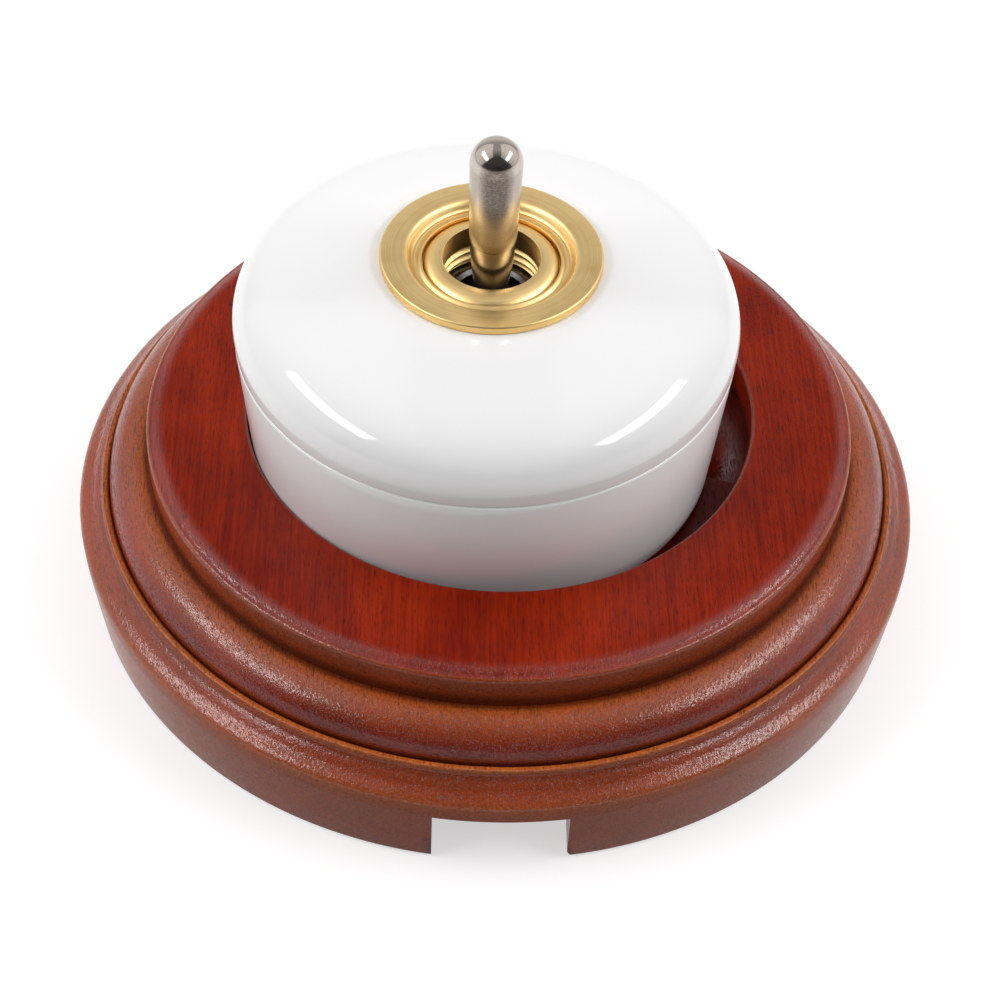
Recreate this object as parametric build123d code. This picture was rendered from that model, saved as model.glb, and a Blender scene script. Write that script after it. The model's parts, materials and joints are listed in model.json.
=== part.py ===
# Surface toggle light switch: a glazed porcelain switch standing in the shallow recess of a turned
# hardwood wall base, with a dished brass rosette and a plated metal toggle lever.
# Millimetres. The origin is the middle of the wood base's flat back, +Z points out of the wall
# and the cable notch faces -Y.

from build123d import *

import os
from math import asin, cos, degrees, radians, sin, sqrt

# Wood base, turned on a lathe. Heights count down from its top face.
wood_radius = 50.0
wood_height = 22.7
wood_side_lean = 1.1          # the plain side draws in by this much at the back
wood_side_edge = 1.8          # from the crisp lower edge of the shoulder to its widest place
wood_edge_inset = 0.1         # the crisp edge stands this much inside the widest place
wood_back_edge = 0.5          # small bevel round the back
disc_side = 4.7               # height of the raised disc over the moulding
disc_edge_width = 2.6         # the disc's top face rolls over this width
disc_edge_drop = 0.55
disc_edge_round = 0.55
thumb_width = 4.8             # quarter-round moulding under the disc
thumb_drop = 4.1
quirk_depth = 0.35            # fine groove at the foot of the quarter-round
fillet_width = 0.9            # narrow flat ledge outside the groove
cove_width = 1.1
cove_drop = 1.75
shoulder_width = 1.8
shoulder_drop = 1.7
recess_y = 0.9                # the recess was turned this far off the base's axis
recess_depth = 5.5
recess_edge = 0.5
hollow_radius = 31.0          # the back is hollowed for the cables
hollow_depth = 9.2
notch_width = 15.0
notch_height = 8.5
notch_corner_left = 0.7       # the notch's sides round off into the back, one side more
notch_corner_right = 1.7
wall_hole_spacing = 42.0
wall_hole_radius = 2.25
wall_head_radius = 4.3        # countersink for a wood screw's head

# The switch sits a little to one side in its recess, its glazed pieces a little further than the rest.
switch_x = -1.68
switch_y = -0.5
porcelain_shift = (-0.27, 0.3)

# Porcelain cup and cover.
cup_rim_radius = 28.6
cup_flare = 1.55              # the cup is this much narrower at its foot
recess_gap = 1.1              # between the cup's rim and the recess, in radius
cup_height = 18.3
cup_wall = 4.0
cup_floor = 5.0
cup_foot_edge = 1.2
seam_edge = 0.3               # rounded edges that meet in the seam line
cover_swell = 0.18            # the cover is this much wider than the cup's rim
cover_skirt = 1.9             # from the seam up to the cover's widest place
cover_height = 10.45
cover_wall = 3.9
cover_crown = 4.3             # thickness of the crown round the centre hole
cover_crown_drop = 0.9        # fall of the crown from its flat middle to the soft shoulder
cover_shoulder = 10.8         # width of the soft shoulder
cover_side_pull = 5.0         # Bezier handles that shape the shoulder: up the side,
cover_top_pull = 5.4          # along the top
cover_land_pull = 1.6         # and into the flat middle
cover_top_slope = 0.28        # fall of the top at the shoulder's inner end
cover_inner_skirt = 3.4       # inside, the wall is straight to this height over the seam
cover_land_margin = 0.75      # flat middle of the cover round the rosette
lip_height = 1.6              # ring on the cover that drops into the cup
lip_wall = 1.8
lip_gap = 0.35
cover_hole_gap = 0.5          # between the rosette's hub and the cover's hole

# Brass rosette and the ring nut that holds it down.
rosette_radius = 12.45
rosette_rim = 1.05            # thickness of the flat rim
rosette_rim_edge = 0.15
rosette_flat = 2.5            # width of the flat rim, up to where it rolls into a cove
rosette_dish_run = 0.35       # from the bottom of the cove to the lip
rosette_dish_drop = 1.25
rosette_lip = 0.2             # width of the small upstanding lip inside the cove
rosette_lip_drop = 1.0
rosette_bore_drop = 2.1
rosette_ledge = 0.8
rosette_hub_wall = 1.75
rosette_ledge_gap = 0.15
ring_head = 0.9               # the head stands this far out over the shank
ring_head_gap = 0.15          # between the head and the rosette's bore
ring_side = 0.3               # straight part of the ring's side
ring_crest_height = 1.48      # its domed top is highest round the hole
ring_crest_pull = 1.1         # Bezier handles that shape the domed top
ring_side_pull = 0.6
ring_mouth = 0.12             # edge round the hole
ring_collar = 2.6             # smooth part of the hole, above the thread
ring_wall = 0.7               # between the thread and the outside of the shank
ring_shank_length = 7.4
thread_radius = 6.0
thread_depth = 0.58
thread_pitch = 1.0
thread_flat = 0.2             # width of a thread's crest
thread_gap = 0.05

# Threaded bushing, its bridge bracket and the moulded housing.
bushing_setback = 4.75        # the bushing ends this far under the cover's top
bushing_bore_radius = 4.0
bushing_mouth = 0.4
bushing_flange_width = 2.0    # out from the thread
bushing_flange = 1.0
bushing_spigot_step = 0.6     # the spigot is this much slimmer than the thread
spigot_gap = 0.05
bracket_thickness = 1.0
bracket_plate_width = 16.0
bracket_leg_width = 9.0
bracket_foot_length = 7.2
bracket_gap = 0.2
housing_height = 10.3
housing_width = 17.6
housing_length = 30.0
housing_corner = 1.5
housing_floor = 1.8
cavity_width = 9.2
cavity_length = 24.0
bracket_screw_radius = 1.75
bracket_screw_gap = 0.1
bracket_head_radius = 3.1
bracket_head_height = 1.9
bracket_washer = 0.6
bracket_nut_flats = 6.4
bracket_nut_height = 2.6
nut_pocket_gap = 0.2
nut_pocket_depth = 3.0
nut_gap = 0.02                # round the screw
bracket_screw_setback = 0.3   # its end stays inside the cup's underside

# Holes in the cup's floor, beside the housing's corners.
floor_hole_inset = 5.0        # from the inside of the cup's wall
floor_hole_gap = 1.66         # between a base washer and the housing
cable_hole_radius = 3.6
wood_cable_hole_extra = 1.9   # play for the cable's bend in the wood
base_screw_radius = 1.7
base_screw_gap = 0.15
base_screw_length = 12.0      # under the washer
base_screw_tip = 3.0
base_screw_point = 0.3        # radius of the blunt point
base_head_radius = 3.1
base_head_height = 1.9
base_washer_radius = 3.4
base_washer = 0.8
screw_slot_width = 0.9
screw_slot_depth = 0.9
screw_crown = 0.6             # height of a head's domed part

# Toggle lever. Distances along it count from its pivot.
pivot_setback = 5.4           # the pivot lies this far under the bushing's end
lever_lean = 9.0              # at rest it leans towards the notch
rocker_lean = 10.0
lever_tip_radius = 2.85
lever_foot_radius = 2.62
lever_reach = 30.4
lever_step_reach = 15.6
lever_step_edge = 0.25
neck_radius = 2.45
neck_length = 2.2
shank_radius = 1.9
shank_reach = 7.0
ball_radius = 3.6
arm_radius = 2.4
arm_gap = 0.2                 # between the arm's end and the plunger's head
spring_bore_radius = 1.55
spring_bore_wall = 0.8        # left between the bore and the pin
pin_radius = 0.8
pin_gap = 0.05
pin_reach = 5.2               # half the pin's length

# Plunger, spring and the rocking contact.
plunger_stem_radius = 1.4
plunger_stem_length = 1.6
plunger_head_radius = 1.9
plunger_gap = 0.12            # between the plunger and the level rocker
plunger_nose_radius = 2.4
plunger_head_flat = 0.35
spring_radius = 1.1
spring_wire_radius = 0.17
spring_turns = 3.5
rocker_half_length = 8.5
rocker_width = 4.4
rocker_thickness = 1.0
rocker_corner = 0.9
rocker_height = 4.1           # its axis over the housing's inner floor
rocker_pin_radius = 0.6
rocker_pin_gap = 0.06
contact_radius = 1.5
contact_thickness = 0.5
contact_inset = 1.7
contact_gap = 0.1             # left between the closed contacts
strip_thickness = 0.8
strip_width = 4.4
strip_end = 0.6               # the load strip goes on this far past its contact
fulcrum_ear = 0.8
fulcrum_gap = 0.3
fulcrum_length = 4.4
fulcrum_over = 0.9            # of an ear over the rocker's stub
terminal_width = 6.4
terminal_length = 5.6
terminal_height = 6.0
terminal_wire_radius = 1.4
terminal_wire_drop = 0.4      # the wire hole lies this far below the block's middle
terminal_screw_radius = 1.5
terminal_screw_gap = 0.05
terminal_head_radius = 2.4
terminal_head_height = 1.5
terminal_screw_length = 2.2

# Radii and places that follow from the sizes above.
cup_foot_radius = cup_rim_radius - cup_flare
recess_radius = cup_rim_radius + recess_gap
cover_radius = cup_rim_radius + cover_swell
cover_land = rosette_radius + cover_land_margin
ring_shank_radius = thread_radius + ring_wall
ring_hole_radius = thread_radius - thread_depth
ring_radius = ring_shank_radius + ring_head
rosette_bore_radius = ring_radius + ring_head_gap
rosette_lip_radius = rosette_bore_radius + rosette_lip
rosette_dish_foot = rosette_lip_radius + rosette_dish_run
rosette_dish_radius = rosette_radius - rosette_flat
rosette_hub_radius = ring_shank_radius + rosette_ledge_gap + rosette_hub_wall
cover_hole_radius = rosette_hub_radius + cover_hole_gap
bushing_spigot_radius = thread_radius - bushing_spigot_step
bushing_flange_radius = thread_radius + bushing_flange_width
bracket_outer_x = housing_width / 2 + bracket_gap + bracket_thickness
bracket_hole_x = bracket_outer_x + bracket_foot_length / 2
floor_hole_x = housing_width / 2 + base_washer_radius + floor_hole_gap
floor_hole_reach = cup_rim_radius - cup_wall - floor_hole_inset
floor_hole_y = sqrt(floor_hole_reach**2 - floor_hole_x**2)

# Heights that follow from the sizes above.
recess_floor_z = wood_height - recess_depth
floor_z = recess_floor_z + cup_floor
seam_z = recess_floor_z + cup_height
cover_top_z = seam_z + cover_height
cover_under_z = cover_top_z - cover_crown
rosette_top_z = cover_top_z + rosette_rim
ring_seat_z = rosette_top_z - rosette_bore_drop
bushing_top_z = cover_top_z - bushing_setback
pivot_z = bushing_top_z - pivot_setback
housing_top_z = floor_z + housing_height
bracket_top_z = housing_top_z + bracket_thickness
cavity_floor_z = floor_z + housing_floor
rocker_z = cavity_floor_z + rocker_height
contact_y = rocker_half_length - contact_inset
plunger_nose_z = rocker_z + rocker_thickness / 2 + plunger_gap
plunger_nose_rise = plunger_nose_radius - sqrt(plunger_nose_radius**2 - plunger_head_radius**2)
plunger_top_z = plunger_nose_z + plunger_nose_rise + plunger_head_flat
arm_z = plunger_top_z + arm_gap
spring_bore_z = pivot_z - pin_radius - spring_bore_wall

switch_place = Pos(switch_x, switch_y, 0)


def turned(*outline):
    """Revolve a closed outline, drawn as (radius, height), about the upright axis."""
    return revolve(Plane.XZ * make_face(outline), Axis.Z)


def upright(radius, low, high, x=0.0, y=0.0):
    """A round bar from one height to another."""
    return Pos(x, y, (low + high) / 2) * Cylinder(radius, high - low)


def block(width, length, low, high, x=0.0, y=0.0):
    """A square-edged bar, width along X and length along Y."""
    return Pos(x, y, (low + high) / 2) * Box(width, length, high - low)


base_screw_places = [(floor_hole_x, floor_hole_y), (-floor_hole_x, -floor_hole_y)]
cable_hole_places = [(-floor_hole_x, floor_hole_y), (floor_hole_x, -floor_hole_y)]
bracket_screw_places = [(-bracket_hole_x, 0.0), (bracket_hole_x, 0.0)]


def wood_outline():
    """The turned section from the axis round the moulded front and back to the axis."""
    thumb_r = wood_radius - shoulder_width - cove_width - fillet_width
    disc_r = thumb_r - thumb_width
    disc_foot_z = wood_height - disc_side
    ledge_z = disc_foot_z - thumb_drop
    cove_r = thumb_r + fillet_width
    cove_foot_z = ledge_z - cove_drop
    widest_z = cove_foot_z - shoulder_drop
    edge_z = widest_z - wood_side_edge
    back_r = wood_radius - wood_side_lean
    disc_edge_z = wood_height - disc_edge_drop
    return [
        Line((0, 0), (back_r - wood_back_edge, 0)),
        Line((back_r - wood_back_edge, 0), (back_r, wood_back_edge)),
        Line((back_r, wood_back_edge), (wood_radius - wood_edge_inset, edge_z)),
        Line((wood_radius - wood_edge_inset, edge_z), (wood_radius, widest_z)),
        Spline(
            (wood_radius, widest_z),
            (cove_r + cove_width, cove_foot_z),
            (cove_r, ledge_z - quirk_depth),
            tangents=((0, 1), (0, 1)),
        ),
        Line((cove_r, ledge_z - quirk_depth), (cove_r, ledge_z)),
        Line((cove_r, ledge_z), (thumb_r + quirk_depth, ledge_z)),
        Line((thumb_r + quirk_depth, ledge_z), (thumb_r, ledge_z - quirk_depth)),
        Line((thumb_r, ledge_z - quirk_depth), (thumb_r, ledge_z)),
        EllipticalCenterArc((disc_r, ledge_z), thumb_width, thumb_drop, 0, arc_size=90),
        Line((disc_r, disc_foot_z), (disc_r, disc_edge_z - disc_edge_round)),
        CenterArc(
            (disc_r - disc_edge_round, disc_edge_z - disc_edge_round), disc_edge_round, 0, 90
        ),
        Spline(
            (disc_r - disc_edge_round, disc_edge_z),
            (disc_r - disc_edge_width, wood_height),
            tangents=((-1, 0.6), (-1, 0)),
        ),
        Line((disc_r - disc_edge_width, wood_height), (0, wood_height)),
        Line((0, wood_height), (0, 0)),
    ]


def notch():
    """The cable notch, as the solid to cut: straight sides that flare at the back face."""
    half = notch_width / 2
    left = notch_corner_left
    right = notch_corner_right
    outline = [
        Line((-half - left, 0), (half + right, 0)),
        CenterArc((half + right, right), right, 270, -90),
        Line((half, right), (half, notch_height)),
        Line((half, notch_height), (-half, notch_height)),
        Line((-half, notch_height), (-half, left)),
        CenterArc((-half - left, left), left, 0, -90),
    ]
    return extrude(Plane.XZ * make_face(outline), wood_radius + 1)


def wood_base():
    """Turned hardwood base with its recess, hollow back, cable notch and screw holes."""
    wood = turned(*wood_outline())
    recess = turned(
        Line((0, recess_floor_z), (recess_radius, recess_floor_z)),
        Line((recess_radius, recess_floor_z), (recess_radius, wood_height - recess_edge)),
        CenterArc(
            (recess_radius + recess_edge, wood_height - recess_edge), recess_edge, 180, -90
        ),
        Line((recess_radius + recess_edge, wood_height), (0, wood_height)),
        Line((0, wood_height), (0, recess_floor_z)),
    )
    hollow = upright(hollow_radius, 0, hollow_depth)
    wood = wood - Pos(0, recess_y, 0) * recess - hollow - notch()
    for x in (-wall_hole_spacing / 2, wall_hole_spacing / 2):
        wood = wood - upright(wall_hole_radius, 0, wood_height, x)
        head_drop = wall_head_radius - wall_hole_radius
        sink = Pos(x, 0, recess_floor_z - head_drop / 2)
        wood = wood - sink * Cone(wall_hole_radius, wall_head_radius, head_drop)
    for x, y in cable_hole_places:
        hole = upright(cable_hole_radius + wood_cable_hole_extra, 0, wood_height, x, y)
        wood = wood - switch_place * hole
    for x, y in base_screw_places:
        wood = wood - switch_place * screw_body(x, y, base_screw_gap)
    return wood


def cup_outline():
    """Section of the cup's wall and floor."""
    inner_r = cup_rim_radius - cup_wall
    return [
        Line((0, recess_floor_z), (cup_foot_radius - cup_foot_edge, recess_floor_z)),
        CenterArc(
            (cup_foot_radius - cup_foot_edge, recess_floor_z + cup_foot_edge),
            cup_foot_edge,
            270,
            90,
        ),
        Line(
            (cup_foot_radius, recess_floor_z + cup_foot_edge),
            (cup_rim_radius, seam_z - seam_edge),
        ),
        CenterArc((cup_rim_radius - seam_edge, seam_z - seam_edge), seam_edge, 0, 90),
        Line((cup_rim_radius - seam_edge, seam_z), (inner_r, seam_z)),
        Line((inner_r, seam_z), (inner_r, floor_z)),
        Line((inner_r, floor_z), (0, floor_z)),
        Line((0, floor_z), (0, recess_floor_z)),
    ]


def porcelain_base():
    """Glazed cup with holes for the cables, the base screws and the bracket's screws."""
    cup = Pos(*porcelain_shift, 0) * turned(*cup_outline())
    for x, y in cable_hole_places:
        cup = cup - upright(cable_hole_radius, recess_floor_z, floor_z, x, y)
    for x, y in base_screw_places:
        cup = cup - upright(base_screw_radius + base_screw_gap, recess_floor_z, floor_z, x, y)
    pocket = RegularPolygon((bracket_nut_flats / 2 + nut_pocket_gap), 6, major_radius=False)
    for x, y in bracket_screw_places:
        cup = cup - upright(bracket_screw_radius + bracket_screw_gap, recess_floor_z, floor_z, x, y)
        cup = cup - Pos(x, y, recess_floor_z) * extrude(pocket, nut_pocket_depth)
    return cup


def cover_outline():
    """Section of the domed cover, with the lip that drops into the cup."""
    widest_z = seam_z + cover_skirt
    flat_r = cover_radius - cover_shoulder
    flat_z = cover_top_z - cover_crown_drop
    lip_r = cup_rim_radius - cup_wall - lip_gap
    inner_r = lip_r - lip_wall
    roof_z = seam_z + cover_inner_skirt
    return [
        Line((inner_r, seam_z - lip_height), (lip_r, seam_z - lip_height)),
        Line((lip_r, seam_z - lip_height), (lip_r, seam_z)),
        Line((lip_r, seam_z), (cup_rim_radius - seam_edge, seam_z)),
        CenterArc((cup_rim_radius - seam_edge, seam_z + seam_edge), seam_edge, 270, 90),
        Line((cup_rim_radius, seam_z + seam_edge), (cover_radius, widest_z)),
        Bezier(
            (cover_radius, widest_z),
            (cover_radius, widest_z + cover_side_pull),
            (flat_r + cover_top_pull, flat_z - cover_top_slope * cover_top_pull),
            (flat_r, flat_z),
        ),
        Bezier(
            (flat_r, flat_z),
            (flat_r - cover_land_pull, flat_z + cover_top_slope * cover_land_pull),
            (cover_land + cover_land_pull, cover_top_z),
            (cover_land, cover_top_z),
        ),
        Line((cover_land, cover_top_z), (cover_hole_radius, cover_top_z)),
        Line((cover_hole_radius, cover_top_z), (cover_hole_radius, cover_under_z)),
        Line((cover_hole_radius, cover_under_z), (flat_r - cover_wall / 2, cover_under_z)),
        Spline(
            (flat_r - cover_wall / 2, cover_under_z),
            (inner_r, roof_z),
            tangents=((1, 0), (0, -1)),
        ),
        Line((inner_r, roof_z), (inner_r, seam_z - lip_height)),
    ]


def porcelain_cover():
    """Domed glazed cover with a plain hole for the rosette's hub."""
    return Pos(*porcelain_shift, 0) * turned(*cover_outline())


def rosette():
    """Turned brass rosette: flat rim, cove, lip, counterbore and a hub that centres it."""
    rim_r = rosette_radius - rosette_rim_edge
    dish_z = rosette_top_z - rosette_dish_drop
    lip_z = rosette_top_z - rosette_lip_drop
    middle_r = (rosette_dish_radius + rosette_dish_foot) / 2
    ledge_r = ring_shank_radius + rosette_ledge_gap
    hub_z = ring_seat_z - rosette_ledge
    return turned(
        Line((rosette_radius, cover_top_z), (rosette_radius, rosette_top_z - rosette_rim_edge)),
        Line((rosette_radius, rosette_top_z - rosette_rim_edge), (rim_r, rosette_top_z)),
        Line((rim_r, rosette_top_z), (rosette_dish_radius, rosette_top_z)),
        Bezier(
            (rosette_dish_radius, rosette_top_z),
            (middle_r, rosette_top_z),
            (middle_r, dish_z),
            (rosette_dish_foot, dish_z),
        ),
        Line((rosette_dish_foot, dish_z), (rosette_lip_radius, lip_z)),
        Line((rosette_lip_radius, lip_z), (rosette_bore_radius, lip_z)),
        Line((rosette_bore_radius, lip_z), (rosette_bore_radius, ring_seat_z)),
        Line((rosette_bore_radius, ring_seat_z), (ledge_r, ring_seat_z)),
        Line((ledge_r, ring_seat_z), (ledge_r, hub_z)),
        Line((ledge_r, hub_z), (rosette_hub_radius, hub_z)),
        Line((rosette_hub_radius, hub_z), (rosette_hub_radius, cover_top_z)),
        Line((rosette_hub_radius, cover_top_z), (rosette_radius, cover_top_z)),
    )


def ring_nut():
    """Brass ring with a domed head, a smooth collar and thread below it."""
    crest_z = ring_seat_z + ring_crest_height
    mouth_z = crest_z - ring_mouth
    side_z = ring_seat_z + ring_side
    thread_top_z = mouth_z - ring_collar
    bottom_z = ring_seat_z - ring_shank_length
    engaged_z = bushing_top_z + thread_gap
    engaged_r = thread_radius + thread_gap
    turns = max(1, int((thread_top_z - engaged_z) / thread_pitch))
    thread = []
    z = thread_top_z
    for _ in range(turns):
        groove_z = z - (thread_pitch - thread_flat) / 2
        next_z = z - (thread_pitch - thread_flat)
        thread += [
            Line((ring_hole_radius, z), (thread_radius, groove_z)),
            Line((thread_radius, groove_z), (ring_hole_radius, next_z)),
            Line((ring_hole_radius, next_z), (ring_hole_radius, z - thread_pitch)),
        ]
        z = z - thread_pitch
    return turned(
        Line((ring_shank_radius, bottom_z), (ring_shank_radius, ring_seat_z)),
        Line((ring_shank_radius, ring_seat_z), (ring_radius, ring_seat_z)),
        Line((ring_radius, ring_seat_z), (ring_radius, side_z)),
        Bezier(
            (ring_radius, side_z),
            (ring_radius, side_z + ring_side_pull),
            (ring_hole_radius + ring_mouth + ring_crest_pull, crest_z),
            (ring_hole_radius + ring_mouth, crest_z),
        ),
        Line((ring_hole_radius + ring_mouth, crest_z), (ring_hole_radius, mouth_z)),
        Line((ring_hole_radius, mouth_z), (ring_hole_radius, thread_top_z)),
        *thread,
        Line((ring_hole_radius, z), (ring_hole_radius, engaged_z)),
        Line((ring_hole_radius, engaged_z), (engaged_r, engaged_z)),
        Line((engaged_r, engaged_z), (engaged_r, bottom_z)),
        Line((engaged_r, bottom_z), (ring_shank_radius, bottom_z)),
    )


def bushing():
    """Plated bushing, threaded outside, with a flange and a spigot staked in the bracket."""
    flange_z = bracket_top_z + bushing_flange
    mouth_r = bushing_bore_radius + bushing_mouth
    pin_hole = Pos(0, 0, pivot_z) * Rot(0, 90, 0) * Cylinder(pin_radius + pin_gap, 2 * pin_reach)
    body = turned(
        Line((bushing_bore_radius, housing_top_z), (bushing_spigot_radius, housing_top_z)),
        Line((bushing_spigot_radius, housing_top_z), (bushing_spigot_radius, bracket_top_z)),
        Line((bushing_spigot_radius, bracket_top_z), (bushing_flange_radius, bracket_top_z)),
        Line((bushing_flange_radius, bracket_top_z), (bushing_flange_radius, flange_z)),
        Line((bushing_flange_radius, flange_z), (thread_radius, flange_z)),
        Line((thread_radius, flange_z), (thread_radius, bushing_top_z - bushing_mouth)),
        Line(
            (thread_radius, bushing_top_z - bushing_mouth),
            (thread_radius - bushing_mouth, bushing_top_z),
        ),
        Line((thread_radius - bushing_mouth, bushing_top_z), (mouth_r, bushing_top_z)),
        Line((mouth_r, bushing_top_z), (bushing_bore_radius, bushing_top_z - bushing_mouth)),
        Line(
            (bushing_bore_radius, bushing_top_z - bushing_mouth),
            (bushing_bore_radius, housing_top_z),
        ),
    )
    return body - pin_hole


def bridge_bracket():
    """Stamped steel bridge over the housing, with a foot screwed down at each side."""
    inner_x = bracket_outer_x - bracket_thickness
    outer_x = bracket_outer_x
    foot_x = outer_x + bracket_foot_length
    foot_z = floor_z + bracket_thickness
    half = [
        (0, bracket_top_z),
        (outer_x, bracket_top_z),
        (outer_x, foot_z),
        (foot_x, foot_z),
        (foot_x, floor_z),
        (inner_x, floor_z),
        (inner_x, housing_top_z),
        (0, housing_top_z),
    ]
    side = extrude(Plane.XZ * make_face(Polyline(*half, close=True)), bracket_leg_width / 2, both=True)
    hat = side + mirror(side, Plane.YZ)
    plate = block(2 * inner_x, bracket_plate_width, housing_top_z, bracket_top_z)
    hat = hat + plate
    hat = hat - upright(bushing_spigot_radius + spigot_gap, housing_top_z, bracket_top_z)
    for x, y in bracket_screw_places:
        hat = hat - upright(bracket_screw_radius + bracket_screw_gap, floor_z, foot_z, x, y)
    return hat


def mechanism_housing():
    """Moulded box, open at the top, with a slot in each end wall for a terminal's strip."""
    body = extrude(
        Pos(0, 0, floor_z) * RectangleRounded(housing_width, housing_length, housing_corner),
        housing_height,
    )
    body = body - block(cavity_width, cavity_length, cavity_floor_z, housing_top_z)
    slots = block(strip_width, housing_length, cavity_floor_z, cavity_floor_z + strip_thickness)
    return body - slots


def leaned(part):
    """Turn a piece of the lever from upright to its place at rest."""
    return Pos(0, 0, pivot_z) * Rot(lever_lean, 0, 0) * Pos(0, 0, -pivot_z) * part


def tipped(part):
    """Turn a piece of the rocker from level to its place at rest."""
    return Pos(0, 0, rocker_z) * Rot(-rocker_lean, 0, 0) * Pos(0, 0, -rocker_z) * part


def toggle_lever():
    """One turned piece: round tip, step, neck, ball and the arm that holds the spring."""
    tip_z = pivot_z + lever_reach
    step_z = pivot_z + lever_step_reach
    neck_z = step_z - neck_length
    shank_z = pivot_z + shank_reach
    ball_top_z = pivot_z + sqrt(ball_radius**2 - shank_radius**2)
    ball_foot_z = pivot_z - sqrt(ball_radius**2 - arm_radius**2)
    body = turned(
        Line((0, arm_z), (arm_radius, arm_z)),
        Line((arm_radius, arm_z), (arm_radius, ball_foot_z)),
        ThreePointArc((arm_radius, ball_foot_z), (ball_radius, pivot_z), (shank_radius, ball_top_z)),
        Line((shank_radius, ball_top_z), (shank_radius, shank_z)),
        Spline(
            (shank_radius, shank_z),
            (neck_radius, neck_z),
            tangents=((0, 1), (0, 1)),
        ),
        Line((neck_radius, neck_z), (neck_radius, step_z)),
        Line((neck_radius, step_z), (lever_foot_radius, step_z + lever_step_edge)),
        Line(
            (lever_foot_radius, step_z + lever_step_edge),
            (lever_tip_radius, tip_z - lever_tip_radius),
        ),
        CenterArc((0, tip_z - lever_tip_radius), lever_tip_radius, 0, 90),
        Line((0, tip_z), (0, arm_z)),
    )
    body = body - upright(spring_bore_radius, arm_z, spring_bore_z)
    pin_hole = Cylinder(pin_radius + pin_gap, 2 * pin_reach)
    body = body - Pos(0, 0, pivot_z) * Rot(0, 90, 0) * pin_hole
    return leaned(body)


def lever_pin():
    """The pivot pin, pressed across the bushing."""
    return Pos(0, 0, pivot_z) * Rot(0, 90, 0) * Cylinder(pin_radius, 2 * pin_reach)


def plunger():
    """Moulded plunger: a stem in the lever's bore and a round nose on the rocker."""
    nose_centre = (0, plunger_nose_z + plunger_nose_radius)
    nose_turn = degrees(asin(plunger_head_radius / plunger_nose_radius))
    shoulder_z = plunger_top_z - plunger_head_flat
    stem_z = arm_z + plunger_stem_length
    body = turned(
        CenterArc(nose_centre, plunger_nose_radius, 270, nose_turn),
        Line((plunger_head_radius, shoulder_z), (plunger_head_radius, plunger_top_z)),
        Line((plunger_head_radius, plunger_top_z), (plunger_stem_radius, plunger_top_z)),
        Line((plunger_stem_radius, plunger_top_z), (plunger_stem_radius, stem_z)),
        Line((plunger_stem_radius, stem_z), (0, stem_z)),
        Line((0, stem_z), (0, plunger_nose_z)),
    )
    return leaned(body)


def plunger_spring():
    """Small coil spring between the plunger's stem and the end of the lever's bore."""
    low_z = arm_z + plunger_stem_length + spring_wire_radius
    high_z = spring_bore_z - spring_wire_radius
    height = high_z - low_z
    line = Helix(height / spring_turns, height, spring_radius)
    wire = Plane(origin=line @ 0, z_dir=line % 0) * Circle(spring_wire_radius)
    return leaned(Pos(0, 0, low_z) * sweep(wire, path=line, is_frenet=True))


def rocker_contact():
    """Copper rocker: a flat bar with a round stub at each side to pivot on."""
    bar = block(
        rocker_width,
        2 * rocker_half_length,
        rocker_z - rocker_thickness / 2,
        rocker_z + rocker_thickness / 2,
    )
    bar = fillet(bar.edges().filter_by(Axis.Z), rocker_corner)
    stub_reach = strip_width / 2 + fulcrum_gap + fulcrum_ear
    stub = Pos(0, 0, rocker_z) * Rot(0, 90, 0) * Cylinder(rocker_pin_radius, 2 * stub_reach)
    return tipped(bar + stub)


def moving_contact():
    """Silver button riveted under the rocker's closing end."""
    top_z = rocker_z - rocker_thickness / 2
    return tipped(upright(contact_radius, top_z - contact_thickness, top_z, 0, contact_y))


def closed_contact_z():
    """Lowest point of the moving button at rest, which the fixed one must stay clear of."""
    lean = radians(rocker_lean)
    depth = rocker_thickness / 2 + contact_thickness
    return rocker_z - (contact_y + contact_radius) * sin(lean) - depth * cos(lean)


def fixed_contact():
    """Silver button on the load terminal's strip."""
    strip_z = cavity_floor_z + strip_thickness
    lean = radians(rocker_lean)
    y = contact_y * cos(lean) - (rocker_thickness / 2 + contact_thickness) * sin(lean)
    return upright(contact_radius, strip_z, closed_contact_z() - contact_gap, 0, y)


def terminal(way):
    """Brass clamp block outside the housing, with its wire hole, screw hole and strip."""
    outer = housing_length / 2
    middle = way * (outer + terminal_length / 2)
    body = block(
        terminal_width, terminal_length, floor_z, floor_z + terminal_height, 0, middle
    )
    wire_z = floor_z + terminal_height / 2 - terminal_wire_drop
    wire_hole = Pos(0, middle, wire_z) * Rot(0, 90, 0) * Cylinder(terminal_wire_radius, terminal_width)
    screw_hole = upright(
        terminal_screw_radius + terminal_screw_gap, wire_z, floor_z + terminal_height, 0, middle
    )
    return body - wire_hole - screw_hole


def strip(inner_y, way):
    """Flat strip on the housing's inner floor, from inner_y out to the terminal block."""
    outer_y = way * housing_length / 2
    low_z = cavity_floor_z
    return block(
        strip_width,
        abs(outer_y - inner_y),
        low_z,
        low_z + strip_thickness,
        0,
        (outer_y + inner_y) / 2,
    )


def load_terminal():
    """Terminal at the +Y end, whose strip carries the fixed contact."""
    return terminal(1) + strip(contact_y - contact_radius - strip_end, 1)


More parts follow.
